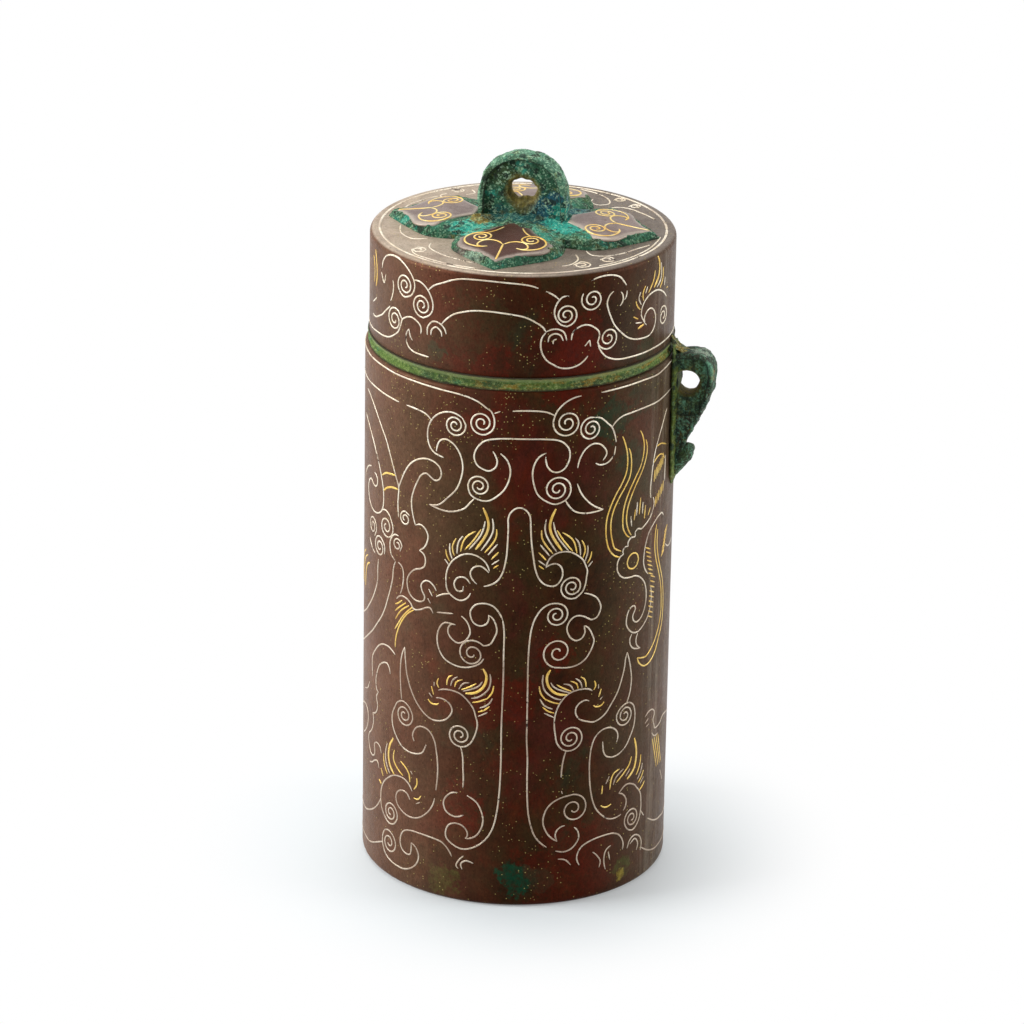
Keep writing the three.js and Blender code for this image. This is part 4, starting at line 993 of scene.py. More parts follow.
lidSideSilver = [
    wire((-17.8, 116.4), (-16.6, 117.6), (-14.3, 118.7), (-12.7, 119.4), (-10.9, 119.9), (-8.2, 120.1),
         (-5.2, 120.1), (0, 119.8), (1.7, 119.5), (2.8, 119.1), None,
         (4.2, 118.5), (5.6, 117.7), (6.5, 116.9)),
    wire((-14.75, 110.9), (-13.8, 112), (-12.4, 113.1), (-10.4, 113.9), (-8.2, 114.4), (-5.4, 114.5),
         (-2.7, 114.3), (0, 113.9), (1.4, 113.4), (2.6, 112.7), (3.6, 112), (4.3, 111)),
    wire((-31.1, 117.1), (-30.7, 118.5), (-29.5, 119.8), (-27.7, 120.5), (-25.4, 120.6), (-23.5, 119.9),
         (-22, 118.8), (-21, 117.4), (-20.9, 116.2), (-21.6, 114.8), (-23.4, 113.9),
         coil=(-23.4, 116.1, 3, -1)),
    wire((-31.4, 116.2), (-30.9, 115.3), (-30.3, 114.6), (-29.6, 116.3)),
    wire((-21, 117.7), (-19.6, 117.7), (-18.2, 117), (-17.1, 115.6), (-16.6, 113.9), (-17.1, 112.3),
         (-18.8, 111.2), coil=(-19.1, 113.4, 3, -1)),
    wire((-27, 116), (-26.8, 114.8), (-27.1, 113.25), (-27.75, 112)),
    wire((-19.3, 108.1), (-19.3, 109.4), (-20.2, 110.2), (-21.6, 110.6), (-22.9, 110.3), (-24.1, 109.5),
         (-24.5, 108.4), (-25.2, 107), (-26.6, 105.9), (-28.2, 105.05), (-30.4, 104.6), (-33.2, 104.4),
         (-36, 104.1)),
    wire((-24.1, 109.5), (-25.2, 110.8), coil=(-26.4, 108.9, 2.8, 1)),
    wire((-36, 106.9), (-34.3, 106.9), (-32.4, 107.7), (-31, 108.4), (-29.3, 109.8), (-27.9, 110.9)),
    wire((-21.3, 106.4), (-21.8, 106.9), (-22.25, 108.25), (-22.25, 108.25), (-22.9, 107.3), (-23, 106.2),
         (-22.4, 105.05), (-21.3, 104.4), (-19.3, 104.2), (-17.4, 104.2)),
    wire((-17.8, 108.25), (-17.7, 109.8), (-16.6, 111), (-15.3, 111), (-14.2, 110.2), (-13.8, 109.2)),
    wire((-17, 108.4), (-16.8, 109.5), (-15.9, 110.1), (-14.9, 109.5), (-14.7, 108.6)),
    wire((-36, 109.2), (-33.8, 110.6)),
    wire((8.3, 117.4), (7.2, 117.3), (6.25, 116.3), (5.75, 114.8), (6, 113.4), (6.8, 112.3), (8.05, 111.8),
         coil=(7.9, 113.9, 3, 1)),
    wire((11, 117.6), (10.7, 116.8), coil=(12.8, 116.3, 2.8, 1)),
    wire((12.4, 119.8), (13.9, 120.2), (15.6, 120.3), (17.2, 120.05), (18.6, 119.4), (19.4, 118.5),
         (20, 117.7)),
    wire((20.2, 116.6), (20, 115.5), (19.6, 115.05)),
    wire((18.75, 116.7), (19.25, 115.9), (19.2, 114.8), (18.6, 114.1)),
    wire((17.1, 117.1), (16.25, 116.4), (15.8, 115.2), (16.1, 113.8), (16.7, 112.3), (17.5, 110.75),
         (18.9, 109.2), (20.6, 107.8), (22.2, 107.1), (24.2, 106.7), (26.7, 106.7), (27.9, 107.4),
         (28.6, 108.7), (28.5, 110.05), (27.8, 111.2), (26.7, 111.7), (25.6, 111.3), (25, 110.5),
         (25.1, 109.5), (25.6, 108.9), (25.6, 108.9), (24.7, 110), (24.1, 111), (24.2, 112.3),
         (24.9, 113.4), (26.1, 114.2), (27.8, 114.55), (29.4, 114.4), (31.4, 113.5), (33.05, 112.1)),
    wire((8.9, 109.2), (9.3, 110.75), (10.6, 111.6), (11.9, 111.7), (13.3, 111), (14.3, 109.9),
         (14, 108.2), coil=(16.2, 108.6, 2.8, 1)),
    wire((14.1, 107.6), (14.7, 106.4), (15.8, 105.2), (17.2, 104.5), (18.9, 104.1), (22.2, 103.9),
         (25, 103.8), (28.6, 103.8), (40, 103.8), (50.4, 104.1)),
    wire((4.3, 111), (5.3, 111.4), (6.4, 111.4), (7.5, 110.75), (8.05, 109.2)),
    wire((4.7, 109.1), (5, 110.2), (6, 110.6), (6.9, 110.2), (7.4, 109.2)),
    wire((5.6, 108.7), (5.7, 109.4), (6.2, 109.6)),
    wire((4.3, 110.9), (3.6, 109.9), (3.4, 108.4), (3.75, 106.9), (4.6, 105.6), (5.8, 104.8), (6.9, 104.2),
         (8.6, 104), (10.3, 104.4), (11.5, 105.2), (12.1, 105.9)),
    wire((11.5, 107.8), (12.4, 108.8), (12.4, 108.8), (12.6, 107.6)),
    wire((30.4, 109.8), (31, 110.6), coil=(31.7, 108.8, 2.4, -1)),
    wire((22.5, 110), (24.2, 109.7)), wire((23.75, 115.5), (23.3, 114.4), (24, 113.1)),
    wire((25.7, 116), (25.1, 114.9)), wire((30.3, 119.2), (30.4, 116.4), (28.9, 115.05)),
    wire((32.2, 116), (31.9, 114.5)),
]
lidSideGold = [
    wire((23.2, 108.8), (24.9, 109.2), width=1.7), wire((21.9, 111.3), (23.2, 110.6)),
    wire((22.5, 114.1), (22.9, 113.1), (23.75, 112.2)), wire((25.1, 116.3), (24.4, 115.1), (24.6, 113.7)),
    wire((28.05, 118.4), (27.6, 116.7), (26, 114.8)),
    wire((29, 120.75), (29.7, 119.2), (29.4, 117), (27.8, 115.3), width=1.6),
    wire((31.25, 118.1), (31.1, 115.9), (30, 114.6)), wire((33.75, 113.7), (33.05, 113.7)),
    wire((-34.6, 119.4), (-33.9, 117.2), (-33.6, 115), (-34.2, 112.7), width=1.5),
    wire((-35.8, 118), (-35, 115.6), (-35.2, 113.2)),
]
# The plan was read at a slant, so depths grow in front of the axis and shrink behind it.
# y' = y * front or y * back, and a point past the reach is drawn in along its own radius.
topFit = {
    "front": 1.12,
    "back": 0.9,
    "reach": 24.9,
}


def fitTop(wires):
    def stretched(x, y):
        return x, y * topFit["back" if y > 0 else "front"]

    def held(point):
        x, y = stretched(*point)
        share = min(1, topFit["reach"] / math.hypot(x, y))
        return x * share, y * share

    def heldCoil(coil):
        return stretched(*coil[:2]) + coil[2:] if coil else coil

    return [dict(w, points=[held(p) for p in w["points"]], coil=heldCoil(w["coil"])) for w in wires]


# On the top, x is to the right and y away from the front
lidTopSilver = fitTop([
    wire((8.9, -18.6), (10.2, -16.9), coil=(10.4, -18.4, 2.4, -1)),
    wire((13.6, -15.8), (14.8, -14.3), coil=(14.9, -15.6, 2.2, -1)),
    wire((13.6, -19), (16, -17.5), (19.5, -15), (22.5, -10), (24.5, -4)),
    wire((9.3, -13.5), (9.7, -16), (8.3, -18.5), (6.9, -19.2)),
    wire((11.2, -11.6), (12.3, -13.6), (14.6, -13.9), (17.5, -12.5), (20, -10.2), (22.5, -8)),
    wire((-19.7, -12.5), (-18.5, -11), coil=(-18.4, -12.3, 2.2, -1)),
    wire((-19.6, -12), (-19.3, -14.5), (-16.5, -17), (-13, -19), (-8.5, -22.5)),
    wire((-16.3, -8.9), (-16.5, -11), (-14.8, -13.8), (-11, -17), (-8, -18.5)),
    wire((-22, 0), (-21.5, -4.5), (-19.5, -6.8), (-17, -6.5)),
    wire((10.5, 25.5), (13.5, 22.5), (15.5, 18.5), (15.4, 15.8), (13.5, 15), (12.3, 16.7), (12.6, 18.8)),
    wire((16.3, 18.2), (17.4, 20), coil=(17.5, 18.7, 2.2, -1)),
    wire((19, 14.3), (20.1, 15.9), coil=(20.2, 14.7, 2.2, -1)),
    wire((15.5, 12), (16.5, 13.6), (18.8, 13.2), (21.5, 10), (23.7, 6.3)),
    wire((-13.3, 22.5), (-12, 24.3), coil=(-12, 23, 2.2, -1)),
    wire((-14, 21), (-15.2, 19.4), (-14.4, 17.8)), wire((-10.5, 20.3), (-9, 21.6), (-9.5, 23.5)),
    wire((-22.5, 8.5), (-20.5, 13.5), (-17.5, 17.5), (-15.6, 19)),
    wire((-16.5, 9.4), (-18.6, 9), (-20.4, 6), (-21.7, 2)),
])
# One petal's gold scroll: x runs out along the petal, y across it
petalScrollHalf = [
    wire((16.8, 0.2), (15.9, 1.0), (15.4, 2.3), (15.7, 3.6), (16.7, 4.4), (17.6, 4.5), (18.2, 3.8), (18, 2.6),
         width=1.15),
    wire((18, 2.6), (18.3, 3.9), (18, 5.2), (17.3, 6.4), (16.2, 7.1), (14.8, 7.3), (13.4, 6.7), (12.5, 5.5),
         (12.3, 4.3), coil=(14.2, 4.5, 2.6, 1), width=1.15),
]
petalTail = [wire((12.5, 4.1), (11.3, 3.1), (10.1, 2.4), (8.4, 1.7))]


# Smooth random values on whole arrays of points: each corner of a cubic lattice has a value between
# 0 and 1, and a point takes the mix of its eight corners. Octaves add finer lattices at half strength.
def lumps(points, size, octaves=3, seed=0.0):
    total, weight = 0.0, 1.0
    for octave in range(octaves):
        spot = np.asarray(points) / size * 2 ** octave + seed + 17.3 * octave
        cell = np.floor(spot)
        share = spot - cell
        share = share * share * (3 - 2 * share)
        value = 0.0
        for corner in np.ndindex(2, 2, 2):
            corner = np.array(corner)
            dots = (cell + corner) @ np.array([127.1, 311.7, 74.7])
            hashed = np.sin(dots) * 43758.5453
            part = np.prod(np.where(corner, share, 1 - share), axis=-1)
            value = value + part * (hashed - np.floor(hashed))
        total = total + weight * (value - 0.5)
        weight *= 0.5
    return total


# Each vertex moves along its own normal by an amount given for the whole array, in millimetres
def roughen(piece, amount):
    mesh = piece.data
    count = len(mesh.vertices)
    places, normals = np.empty(count * 3), np.empty(count * 3)
    mesh.vertices.foreach_get("co", places)
    mesh.vertices.foreach_get("normal", normals)
    places, normals = places.reshape(-1, 3), normals.reshape(-1, 3)
    moved = places + normals * (amount(places / millimetre) * millimetre)[:, None]
    mesh.vertices.foreach_set("co", moved.ravel())
    mesh.update()


# Points between the given ones, so that no step along a profile is longer than spacing
def refined(profile, spacing):
    profile = np.array(profile, float)
    runs = []
    for start, end in zip(profile[:-1], profile[1:]):
        steps = max(1, int(math.ceil(math.hypot(*(end - start)[:2]) / spacing)))
        runs += evenRun(start, end, steps)
    return runs + [profile[-1].tolist()]


# Quadratic curves through control points: start, then pairs of a control and an end
def bowedOutline(start, *pairs, steps=14):
    share = np.linspace(0, 1, steps + 1)[1:, None]
    points, here = [np.array([start], float)], np.array(start, float)
    for control, end in pairs:
        control, end = np.array(control, float), np.array(end, float)
        points.append((1 - share) ** 2 * here + 2 * share * (1 - share) * control + share ** 2 * end)
        here = end
    return np.vstack(points)


# The outline's distance from a centre in each direction, for outlines that every ray meets once
def reachOf(outline, centre):
    away = np.asarray(outline, float) - np.array(centre)
    angle, reach = np.arctan2(away[:, 1], away[:, 0]), np.hypot(*away.T)
    order = np.argsort(angle)
    return lambda theta: np.interp(theta, angle[order], reach[order], period=2 * math.pi)


# The vessel's wall: foot, rounded bottom edge, straight side, bevelled lip, bore and floor ledge
bodyShape = {"wall": 2.2, "footRounding": 1.2, "lipBevel": 0.5, "ledge": 3.0, "ledgeHeight": 1.6}


def makeVesselWall(material):
    outer, top = shared["bodyRadius"], shared["bodyTop"]
    inner, foot, lip = outer - bodyShape["wall"], bodyShape["footRounding"], bodyShape["lipBevel"]
    side = evenRun((outer, foot), (outer, top - lip), 40)
    profile = [(inner - bodyShape["ledge"], 0)] + roundCorner((outer - foot, foot), foot, -90, 0)[:-1] + side
    profile += [(outer, top - lip), (outer - 0.15, top - 0.12), (outer - lip, top), (inner, top),
                (inner, bodyShape["ledgeHeight"]), (inner - bodyShape["ledge"], bodyShape["ledgeHeight"])]
    wallPiece = turnedSurface("vesselWall", profile, material, "vessel")
    outward(wallPiece)
    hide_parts("vessel_wall")


# The lid: skirt, rounded shoulder, nearly flat top and the hollow inside
lidShape = {"wall": 1.8, "top": 2.0, "shoulder": 1.0}


def makeLidShell(material):
    outer, low, high = shared["lidRadius"], shared["lidBottom"], shared["lidTop"]
    inner, shoulder = outer - lidShape["wall"], lidShape["shoulder"]
    profile = [(inner, low), (outer - 0.2, low), (outer, low + 0.2)]
    profile += roundCorner((outer - shoulder, high - shoulder), shoulder, 0, 90, 8)
    profile += [(25, high - 0.02), (18, high), (6, high), (0.01, high), (0.01, high - lidShape["top"]),
                (inner - 1, high - lidShape["top"]), (inner, high - lidShape["top"] - 1)]
    shell = turnedSurface("lidShell", profile, material, "lid")
    outward(shell)
    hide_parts("lid_shell")


# The band and sleeve of the mouth collar, its band uneven and scratched along its length
collarShape = {"wall": 1.9, "unevenness": 0.22}


def makeCollar(material):
    low, high = boxOf("mouth_collar")
    band, bottom, top = high[0], shared["bodyTop"], shared["lidBottom"]
    sleeve = shared["lidRadius"] - lidShape["wall"] - clearance
    spigot = shared["bodyRadius"] - bodyShape["wall"] - clearance
    bore = spigot - collarShape["wall"]
    visible = [(band, bottom), (band, bottom + 0.3), (band - 0.05, bottom + 0.7), (band - 0.35, bottom + 1.0),
               (band - 0.3, bottom + 1.5), (band, bottom + 1.9), (band, top - 0.12), (band - 0.15, top)]
    profile = [(bore, low[2]), (spigot, low[2]), (spigot, bottom)] + refined(visible, 0.15)
    profile += [(sleeve, top), (sleeve, high[2]), (bore, high[2])]
    collar = turnedSurface("mouthCollar", profile, material, "vessel", segments=720)
    outward(collar)

    def uneven(p):
        radius = np.hypot(p[:, 0], p[:, 1])
        onBand = (radius > sleeve + 0.8) & (p[:, 2] > bottom - 0.01) & (p[:, 2] < top - 0.2)
        along = np.stack([np.arctan2(p[:, 1], p[:, 0]) * 9, 0 * radius, p[:, 2] * 2.4], -1)
        return onBand * (lumps(along, 1.0, 4) - 0.25) * collarShape["unevenness"]

    roughen(collar, uneven)
    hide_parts("mouth_collar")


# The quatrefoil. Each petal is an ogee: a narrow tip, two full lobes, and notches between petals.
petalShape = {
    "tip": 24.8, "lobe": 18.9, "lobeAngle": 28, "notch": 13.5, "inset": 1.2,
    "plateTip": 23.6, "plateSide": 2.0,
    "swell": 1.25,          # how far the middle of the quatrefoil stands above its tips
    "swellFrom": 12.5, "swellTo": 25.0,
    "crustRoughness": 0.5,
}


# The quatrefoil swells: level round the loop, then a smooth fall to its tips, and an earlier one
# between the petals. What lies on the lid itself isn't lifted.
def swell(points):
    away = np.hypot(points[..., 0], points[..., 1])
    petal = np.arctan2(points[..., 1], points[..., 0]) - shared["lidTurn"]
    notch = (0.5 - 0.5 * np.cos(4 * petal)) ** 6
    start, end = petalShape["swellFrom"] - 6 * notch, petalShape["swellTo"] - 9.5 * notch
    share = np.clip((end - away) / (end - start), 0, 1)
    above = np.clip((points[..., 2] - shared["lidTop"]) / (shared["baseTop"] - shared["lidTop"]), 0, 1)
    lifted = np.array(points, float)
    lifted[..., 2] += petalShape["swell"] * share ** 2 * (3 - 2 * share) * above
    return lifted


def atAngle(radius, degrees):
    return (radius * math.cos(math.radians(degrees)), radius * math.sin(math.radians(degrees)))


def quatrefoilOutline(grow):
    lobe, notch, tip = petalShape["lobe"] + grow, petalShape["notch"] + grow, petalShape["tip"] + grow
    pairs = []
    for turn in (0, 90, 180, 270):
        spread = petalShape["lobeAngle"]
        pairs += [(atAngle(lobe - 1.2, turn - 38), atAngle(lobe, turn - spread)),
                  (atAngle(lobe + 2.4, turn - 14), atAngle(tip, turn)),
                  (atAngle(lobe + 2.4, turn + 14), atAngle(lobe, turn + spread)),
                  (atAngle(lobe - 1.2, turn + 38), atAngle(notch, turn + 45))]
    return bowedOutline(atAngle(notch, -45), *pairs)[:-1]


# Rings of one outline at growing height: each ring is a share of the way out, at its own height
def makeQuatrefoil(material):
    reach = reachOf(quatrefoilOutline(0), (0, 0))
    inner = reachOf(quatrefoilOutline(-petalShape["inset"]), (0, 0))
    theta = np.linspace(-math.pi, math.pi, 721)[:-1]
    low, high = shared["lidTop"], shared["plateTop"]
    out = reach(theta)
    edge = inner(theta)
    rings = [(edge * share, 0 * theta + high - 0.35) for share in np.linspace(0.02, 0.97, 20)]
    for share in np.linspace(0, 1, 14):
        slope = edge + (out - edge) * (0.05 + 0.95 * share)
        rings.append((slope, low + (high - low - 0.16) * (1 - share) ** 0.8 + 0 * theta))
    rings.append((out * 0.99, 0 * theta + low - 0.15))
    rings.append((out * 0.02, 0 * theta + low - 0.15))
    turned = shared["lidTurn"]
    points = swell(np.vstack([np.stack([r * np.cos(theta + turned), r * np.sin(theta + turned), z], -1)
                              for r, z in rings]))
    faces = gridFaces(len(rings), len(theta), closeRows=True, closeColumns=True)
    base = makePiece("quatrefoilBase", points, faces, material, "lid")
    outward(base)

    def crusted(p):
        sides = (p[:, 2] > low + 0.02) * (p[:, 2] < high + 9)
        outside = np.hypot(p[:, 0], p[:, 1]) > 12.5
        return sides * outside * lumps(p, 1.1, 3) * petalShape["crustRoughness"]

    roughen(base, crusted)
    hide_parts("quatrefoil_base")


# A spade-shaped plate: its outline shrinks towards the plate's middle, and its edge is rounded
def makePetalPlate(name, degrees, neck, material):
    tip = petalShape["plateTip"]
    lobeReach = petalShape["lobe"] - petalShape["inset"]
    lobe = atAngle(lobeReach, petalShape["lobeAngle"])
    half = petalShape["plateSide"]
    outline = bowedOutline((neck, -half), ((lobe[0] - 4, -lobe[1] + 4), (lobe[0] - 1.3, -lobe[1] - 0.1)),
                           ((lobe[0] + 2.3, -lobe[1] - 0.5), (lobe[0] + 3.4, -lobe[1] + 2.2)),
                           ((lobe[0] + 5, -2.2), (tip, 0)),
                           ((lobe[0] + 5, 2.2), (lobe[0] + 3.4, lobe[1] - 2.2)),
                           ((lobe[0] + 2.3, lobe[1] + 0.5), (lobe[0] - 1.3, lobe[1] + 0.1)),
                           ((lobe[0] - 4, lobe[1] - 4), (neck, half)), steps=18)
    middle = np.array([15, 0])
    low, high = shared["baseTop"] - 0.1, shared["plateTop"]
    rows = [(share, high) for share in np.linspace(0.01, 0.84, 14)]
    rows += [(0.9, high - 0.02), (0.95, high - 0.07), (0.985, high - 0.16), (1.0, high - 0.3), (1.0, low)]
    rows += [(share, low) for share in (0.7, 0.4, 0.01)]
    flat = [np.column_stack([middle + (outline - middle) * share, np.full(len(outline), z)])
            for share, z in rows]
    points = np.vstack(flat)
    turn = shared["lidTurn"] + math.radians(degrees)
    points = swell(onTop(0, turn)(points[:, 0], points[:, 1], points[:, 2]))
    faces = gridFaces(len(rows), len(outline), closeRows=True, closeColumns=True)
    plate = makePiece(name, points, faces, material, "lid")
    outward(plate)
    mark(plate, "rim", np.repeat([share for share, _ in rows], len(outline)))
    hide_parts("petal_plate_" + name.replace("petalPlate", "").lower())


# A pierced knob. Every direction round the eye has a section: from the throat out over the mouth
# and the recessed face to the raised border and the outer edge, and back on the other side.
# A section row is (share of the way, distance outwards) from one of four reaches, and a height.
def eyeletSurface(name, throat, mouth, face, outer, depth, recess, place, material, body, steps=300):
    theta = np.linspace(-math.pi, math.pi, steps + 1)[:-1]
    reaches = [throat(theta), mouth(theta), face(theta), outer(theta)]
    side = [(reaches[0], 0.0 * theta), (reaches[0] + 0.1, 0.3 * depth + 0 * theta),
            (0.5 * (reaches[0] + reaches[1]), 0.62 * depth + 0 * theta),
            (reaches[1], recess + 0 * theta - 0.08), (reaches[1] + 0.3, recess + 0 * theta),
            (reaches[2] - 0.15, recess + 0 * theta), (reaches[2] + 0.1, depth + 0 * theta - 0.1),
            (reaches[2] + 0.35, depth + 0 * theta), (reaches[3] - 0.45, depth + 0 * theta),
            (reaches[3] - 0.1, depth - 0.3 + 0 * theta), (reaches[3], depth - 0.7 + 0 * theta),
            (reaches[3], 0.0 * theta)]
    section = side + [(r, -y) for r, y in side[-2:0:-1]]
    borders = [0, 0, 0, 0, 0, 0.25, 0.5, 0.9, 1, 1, 1, 1]
    funnels = [1, 1, 0.95, 0.45, 0, 0, 0, 0, 0, 0, 0, 0]
    radius = np.stack([r for r, _ in section] + [section[0][0]])
    height = np.stack([y for _, y in section] + [section[0][1]])
    gap = np.hypot(np.diff(radius, axis=0), np.diff(height, axis=0)).max(axis=1)
    rows = np.concatenate([i + np.arange(n) / n for i, n in enumerate(np.ceil(gap / 0.22).astype(int))])
    cell = np.floor(rows).astype(int)
    share = (rows - cell)[:, None]
    r = radius[cell] * (1 - share) + radius[cell + 1] * share
    y = height[cell] * (1 - share) + height[cell + 1] * share
    points = place(r * np.cos(theta), r * np.sin(theta), y).reshape(-1, 3)
    faces = gridFaces(len(rows), steps, closeRows=True, closeColumns=True)
    piece = makePiece(name, points, faces, material, body)
    outward(piece)
    for layer, values in (("border", borders), ("funnel", funnels)):
        ring = values + values[-2:0:-1] + values[:1]
        mark(piece, layer, np.repeat(np.interp(rows, np.arange(len(ring)), ring), steps))
    return piece


# The lid's loop: a D with a thick border, a recessed face and a funnel eye like a drop
loopShape = {
    "width": 17.2, "height": 13.3, "thickness": 4, "border": 1.3, "faceRecess": 0.6,
    "eyeHeight": 6.1, "throat": 2.3, "sill": 1.3, "mouth": 3.25, "drop": 0.8, "roughness": 0.42,
}


def makeLoop(material):
    half, tall, eye = loopShape["width"] / 2, loopShape["height"], loopShape["eyeHeight"]
    outline = bowedOutline((-half + 0.8, -0.6), ((0, -0.6), (half - 0.8, -0.6)),
                           ((half + 0.3, tall * 0.45), (half * 0.82, tall * 0.72)),
                           ((half * 0.5, tall), (0, tall)),
                           ((-half * 0.5, tall), (-half * 0.82, tall * 0.72)),
                           ((-half - 0.3, tall * 0.45), (-half + 0.8, -0.6)), steps=30)[:-1]
    outer = reachOf(outline, (0, eye))

    # The mouth is drawn down to a point below, as a drop hangs, over a raised sill in the throat
    def drop(theta):
        return loopShape["drop"] * np.exp(-((theta + math.pi / 2) / 0.42) ** 2)

    def throat(theta):
        sill = loopShape["sill"] * np.exp(-((theta + math.pi / 2) / 0.9) ** 2)
        return loopShape["throat"] - sill + 0.13 * np.sin(3 * theta + 1) + 0.07 * np.sin(8 * theta)

    turned = shared["lidTurn"]
    floor = shared["baseTop"]

    def place(x, up, out):
        return np.stack([x * math.cos(turned) + out * math.sin(turned),
                         x * math.sin(turned) - out * math.cos(turned), floor + eye + up], -1)

    loop = eyeletSurface("lidLoop", throat,
                         lambda t: loopShape["mouth"] + drop(t) + 0.1 * np.sin(4 * t),
                         lambda t: np.maximum(outer(t) - loopShape["border"], loopShape["mouth"] + 0.9),
                         outer, loopShape["thickness"] / 2,
                         loopShape["thickness"] / 2 - loopShape["faceRecess"],
                         place, material, "lid")
    roughen(loop, lambda p: (lumps(p, 1.5, 4, 3.0) - 0.12) * loopShape["roughness"])
    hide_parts("lid_loop")


# The mound of crust round the loop: a height over each direction and share of the way out
moundShape = {
    "petalReach": 7.0, "notchReach": 16.4, "rise": 0.25, "roughness": 0.9,
    "lumpAzimuth": -163, "lumpReach": 8.4, "lumpRise": 1.3, "lumpWidth": 1.5,
    "pitDepth": 1.2, "pitWidth": 0.55,
}


def makeMound(material):
    theta = np.linspace(-math.pi, math.pi, 481)[:-1][None, :]
    share = np.linspace(0.02, 1, 70)[:, None]
    petal = theta - shared["lidTurn"]
    notch = (0.5 - 0.5 * np.cos(4 * petal)) ** 1.6
    edge = np.stack([12 * np.cos(theta), 12 * np.sin(theta), 0 * theta], -1)
    reach = (moundShape["petalReach"] + (moundShape["notchReach"] - moundShape["petalReach"]) * notch
             + 3.2 * lumps(edge, 3.2, 4, 5.0))
    radius = share * reach
    x, y = radius * np.cos(theta), radius * np.sin(theta)
    ground = np.stack([x, y, 0 * x], -1)
    top = shared["plateTop"] + moundShape["rise"] * np.exp(-(radius / 7.5) ** 2) + 0.1
    foot = shared["lidTop"] + (1 - notch) * (shared["plateTop"] - shared["lidTop"]) - 0.12
    fade = 1 - share ** (5 - 2.8 * notch)
    lump = atAngle(moundShape["lumpReach"], moundShape["lumpAzimuth"])
    apart = np.hypot(x - lump[0], y - lump[1])
    z = foot + (top - foot) * fade * (1 - 0.55 * notch * share)
    z = z + fade * (moundShape["roughness"] * (lumps(ground, 1.9, 4) + 0.1)
                    + moundShape["lumpRise"] * np.exp(-(apart / moundShape["lumpWidth"]) ** 2)
                    - moundShape["pitDepth"] * np.exp(-(apart / moundShape["pitWidth"]) ** 2))
    bottom = shared["lidTop"] - 0.2
    points = swell(np.vstack([np.stack([x, y, z], -1).reshape(-1, 3),
                              np.stack([x[-1], y[-1], 0 * x[-1] + bottom], -1),
                              np.stack([x[0], y[0], 0 * x[0] + bottom], -1)]))
    faces = gridFaces(len(share) + 2, theta.size, closeRows=True, closeColumns=True)
    mound = makePiece("crustMound", points, faces, material, "lid")
    outward(mound)


# The side lug: its eye near the top, its outer edge running in to a thin tail, and a beak below
lugShape = {
    "azimuth": 78, "reach": 7.6, "eyeOut": 2.75, "eyeHeight": 95.2, "throat": 1.95, "mouth": 2.5, "ring": 3.0,
    "base": 76.2, "top": 100.9, "halfWidth": 2.5, "roughness": 0.3, "ridges": 0.16,
}


def lugPlace(out, across, height):
    turn = math.radians(lugShape["azimuth"])
    radius = shared["bodyRadius"] + out
    return np.stack([radius * math.sin(turn) + across * math.cos(turn),
                     -radius * math.cos(turn) + across * math.sin(turn), height], -1)


def makeLug(material):
    eyeOut, eyeHeight = lugShape["eyeOut"], lugShape["eyeHeight"]
    base, top, reach = lugShape["base"], lugShape["top"], lugShape["reach"]
    outline = bowedOutline((0.3, base), ((1.1, base + 2), (2.0, base + 5)),
                           ((2.6, base + 7), (3.2, base + 8.6)),
                           ((6.2, eyeHeight - 5), (7.2, eyeHeight - 1.5)),
                           ((reach + 0.1, eyeHeight + 0.6), (reach - 0.1, eyeHeight + 2)),
                           ((reach - 0.5, top - 0.3), (4.6, top)), ((2, top + 0.1), (0.05, top - 0.6)),
                           ((0.05, eyeHeight), (0.3, base)), steps=24)[:-1]
    outer = reachOf(outline, (eyeOut, eyeHeight))

    # Thinner towards the tail: half the width at the base, the whole width above the eye
    def place(out, up, side):
        height = eyeHeight + up
        slim = 0.42 + 0.58 * np.clip((height - base) / 13, 0, 1)
        return lugPlace(eyeOut + out, side * slim, height)

    lug = eyeletSurface("sideLug",
                        lambda t: np.minimum(lugShape["throat"] + 0.1 * np.sin(3 * t), outer(t) - 0.6),
                        lambda t: np.minimum(lugShape["mouth"] + 0 * t, outer(t) - 0.5),
                        lambda t: np.minimum(outer(t) - 1.0, lugShape["ring"] + 3.0), outer,
                        lugShape["halfWidth"], lugShape["halfWidth"] - 0.35, place, material, "vessel")

    def crusted(p):
        turn = math.radians(lugShape["azimuth"])
        out = p[:, 0] * math.sin(turn) - p[:, 1] * math.cos(turn)
        eye = np.hypot(out - shared["bodyRadius"] - eyeOut, p[:, 2] - eyeHeight)
        clear = np.clip((eye - 2.2) / 1.2, 0.12, 1)
        ridge = np.sin(out * 7.5) * (p[:, 2] < eyeHeight + 3) * lugShape["ridges"]
        return clear * ((lumps(p, 1.3, 4, 9.0) - 0.1) * lugShape["roughness"] + ridge * 0.6)

    roughen(lug, crusted)
    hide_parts("side_lug")


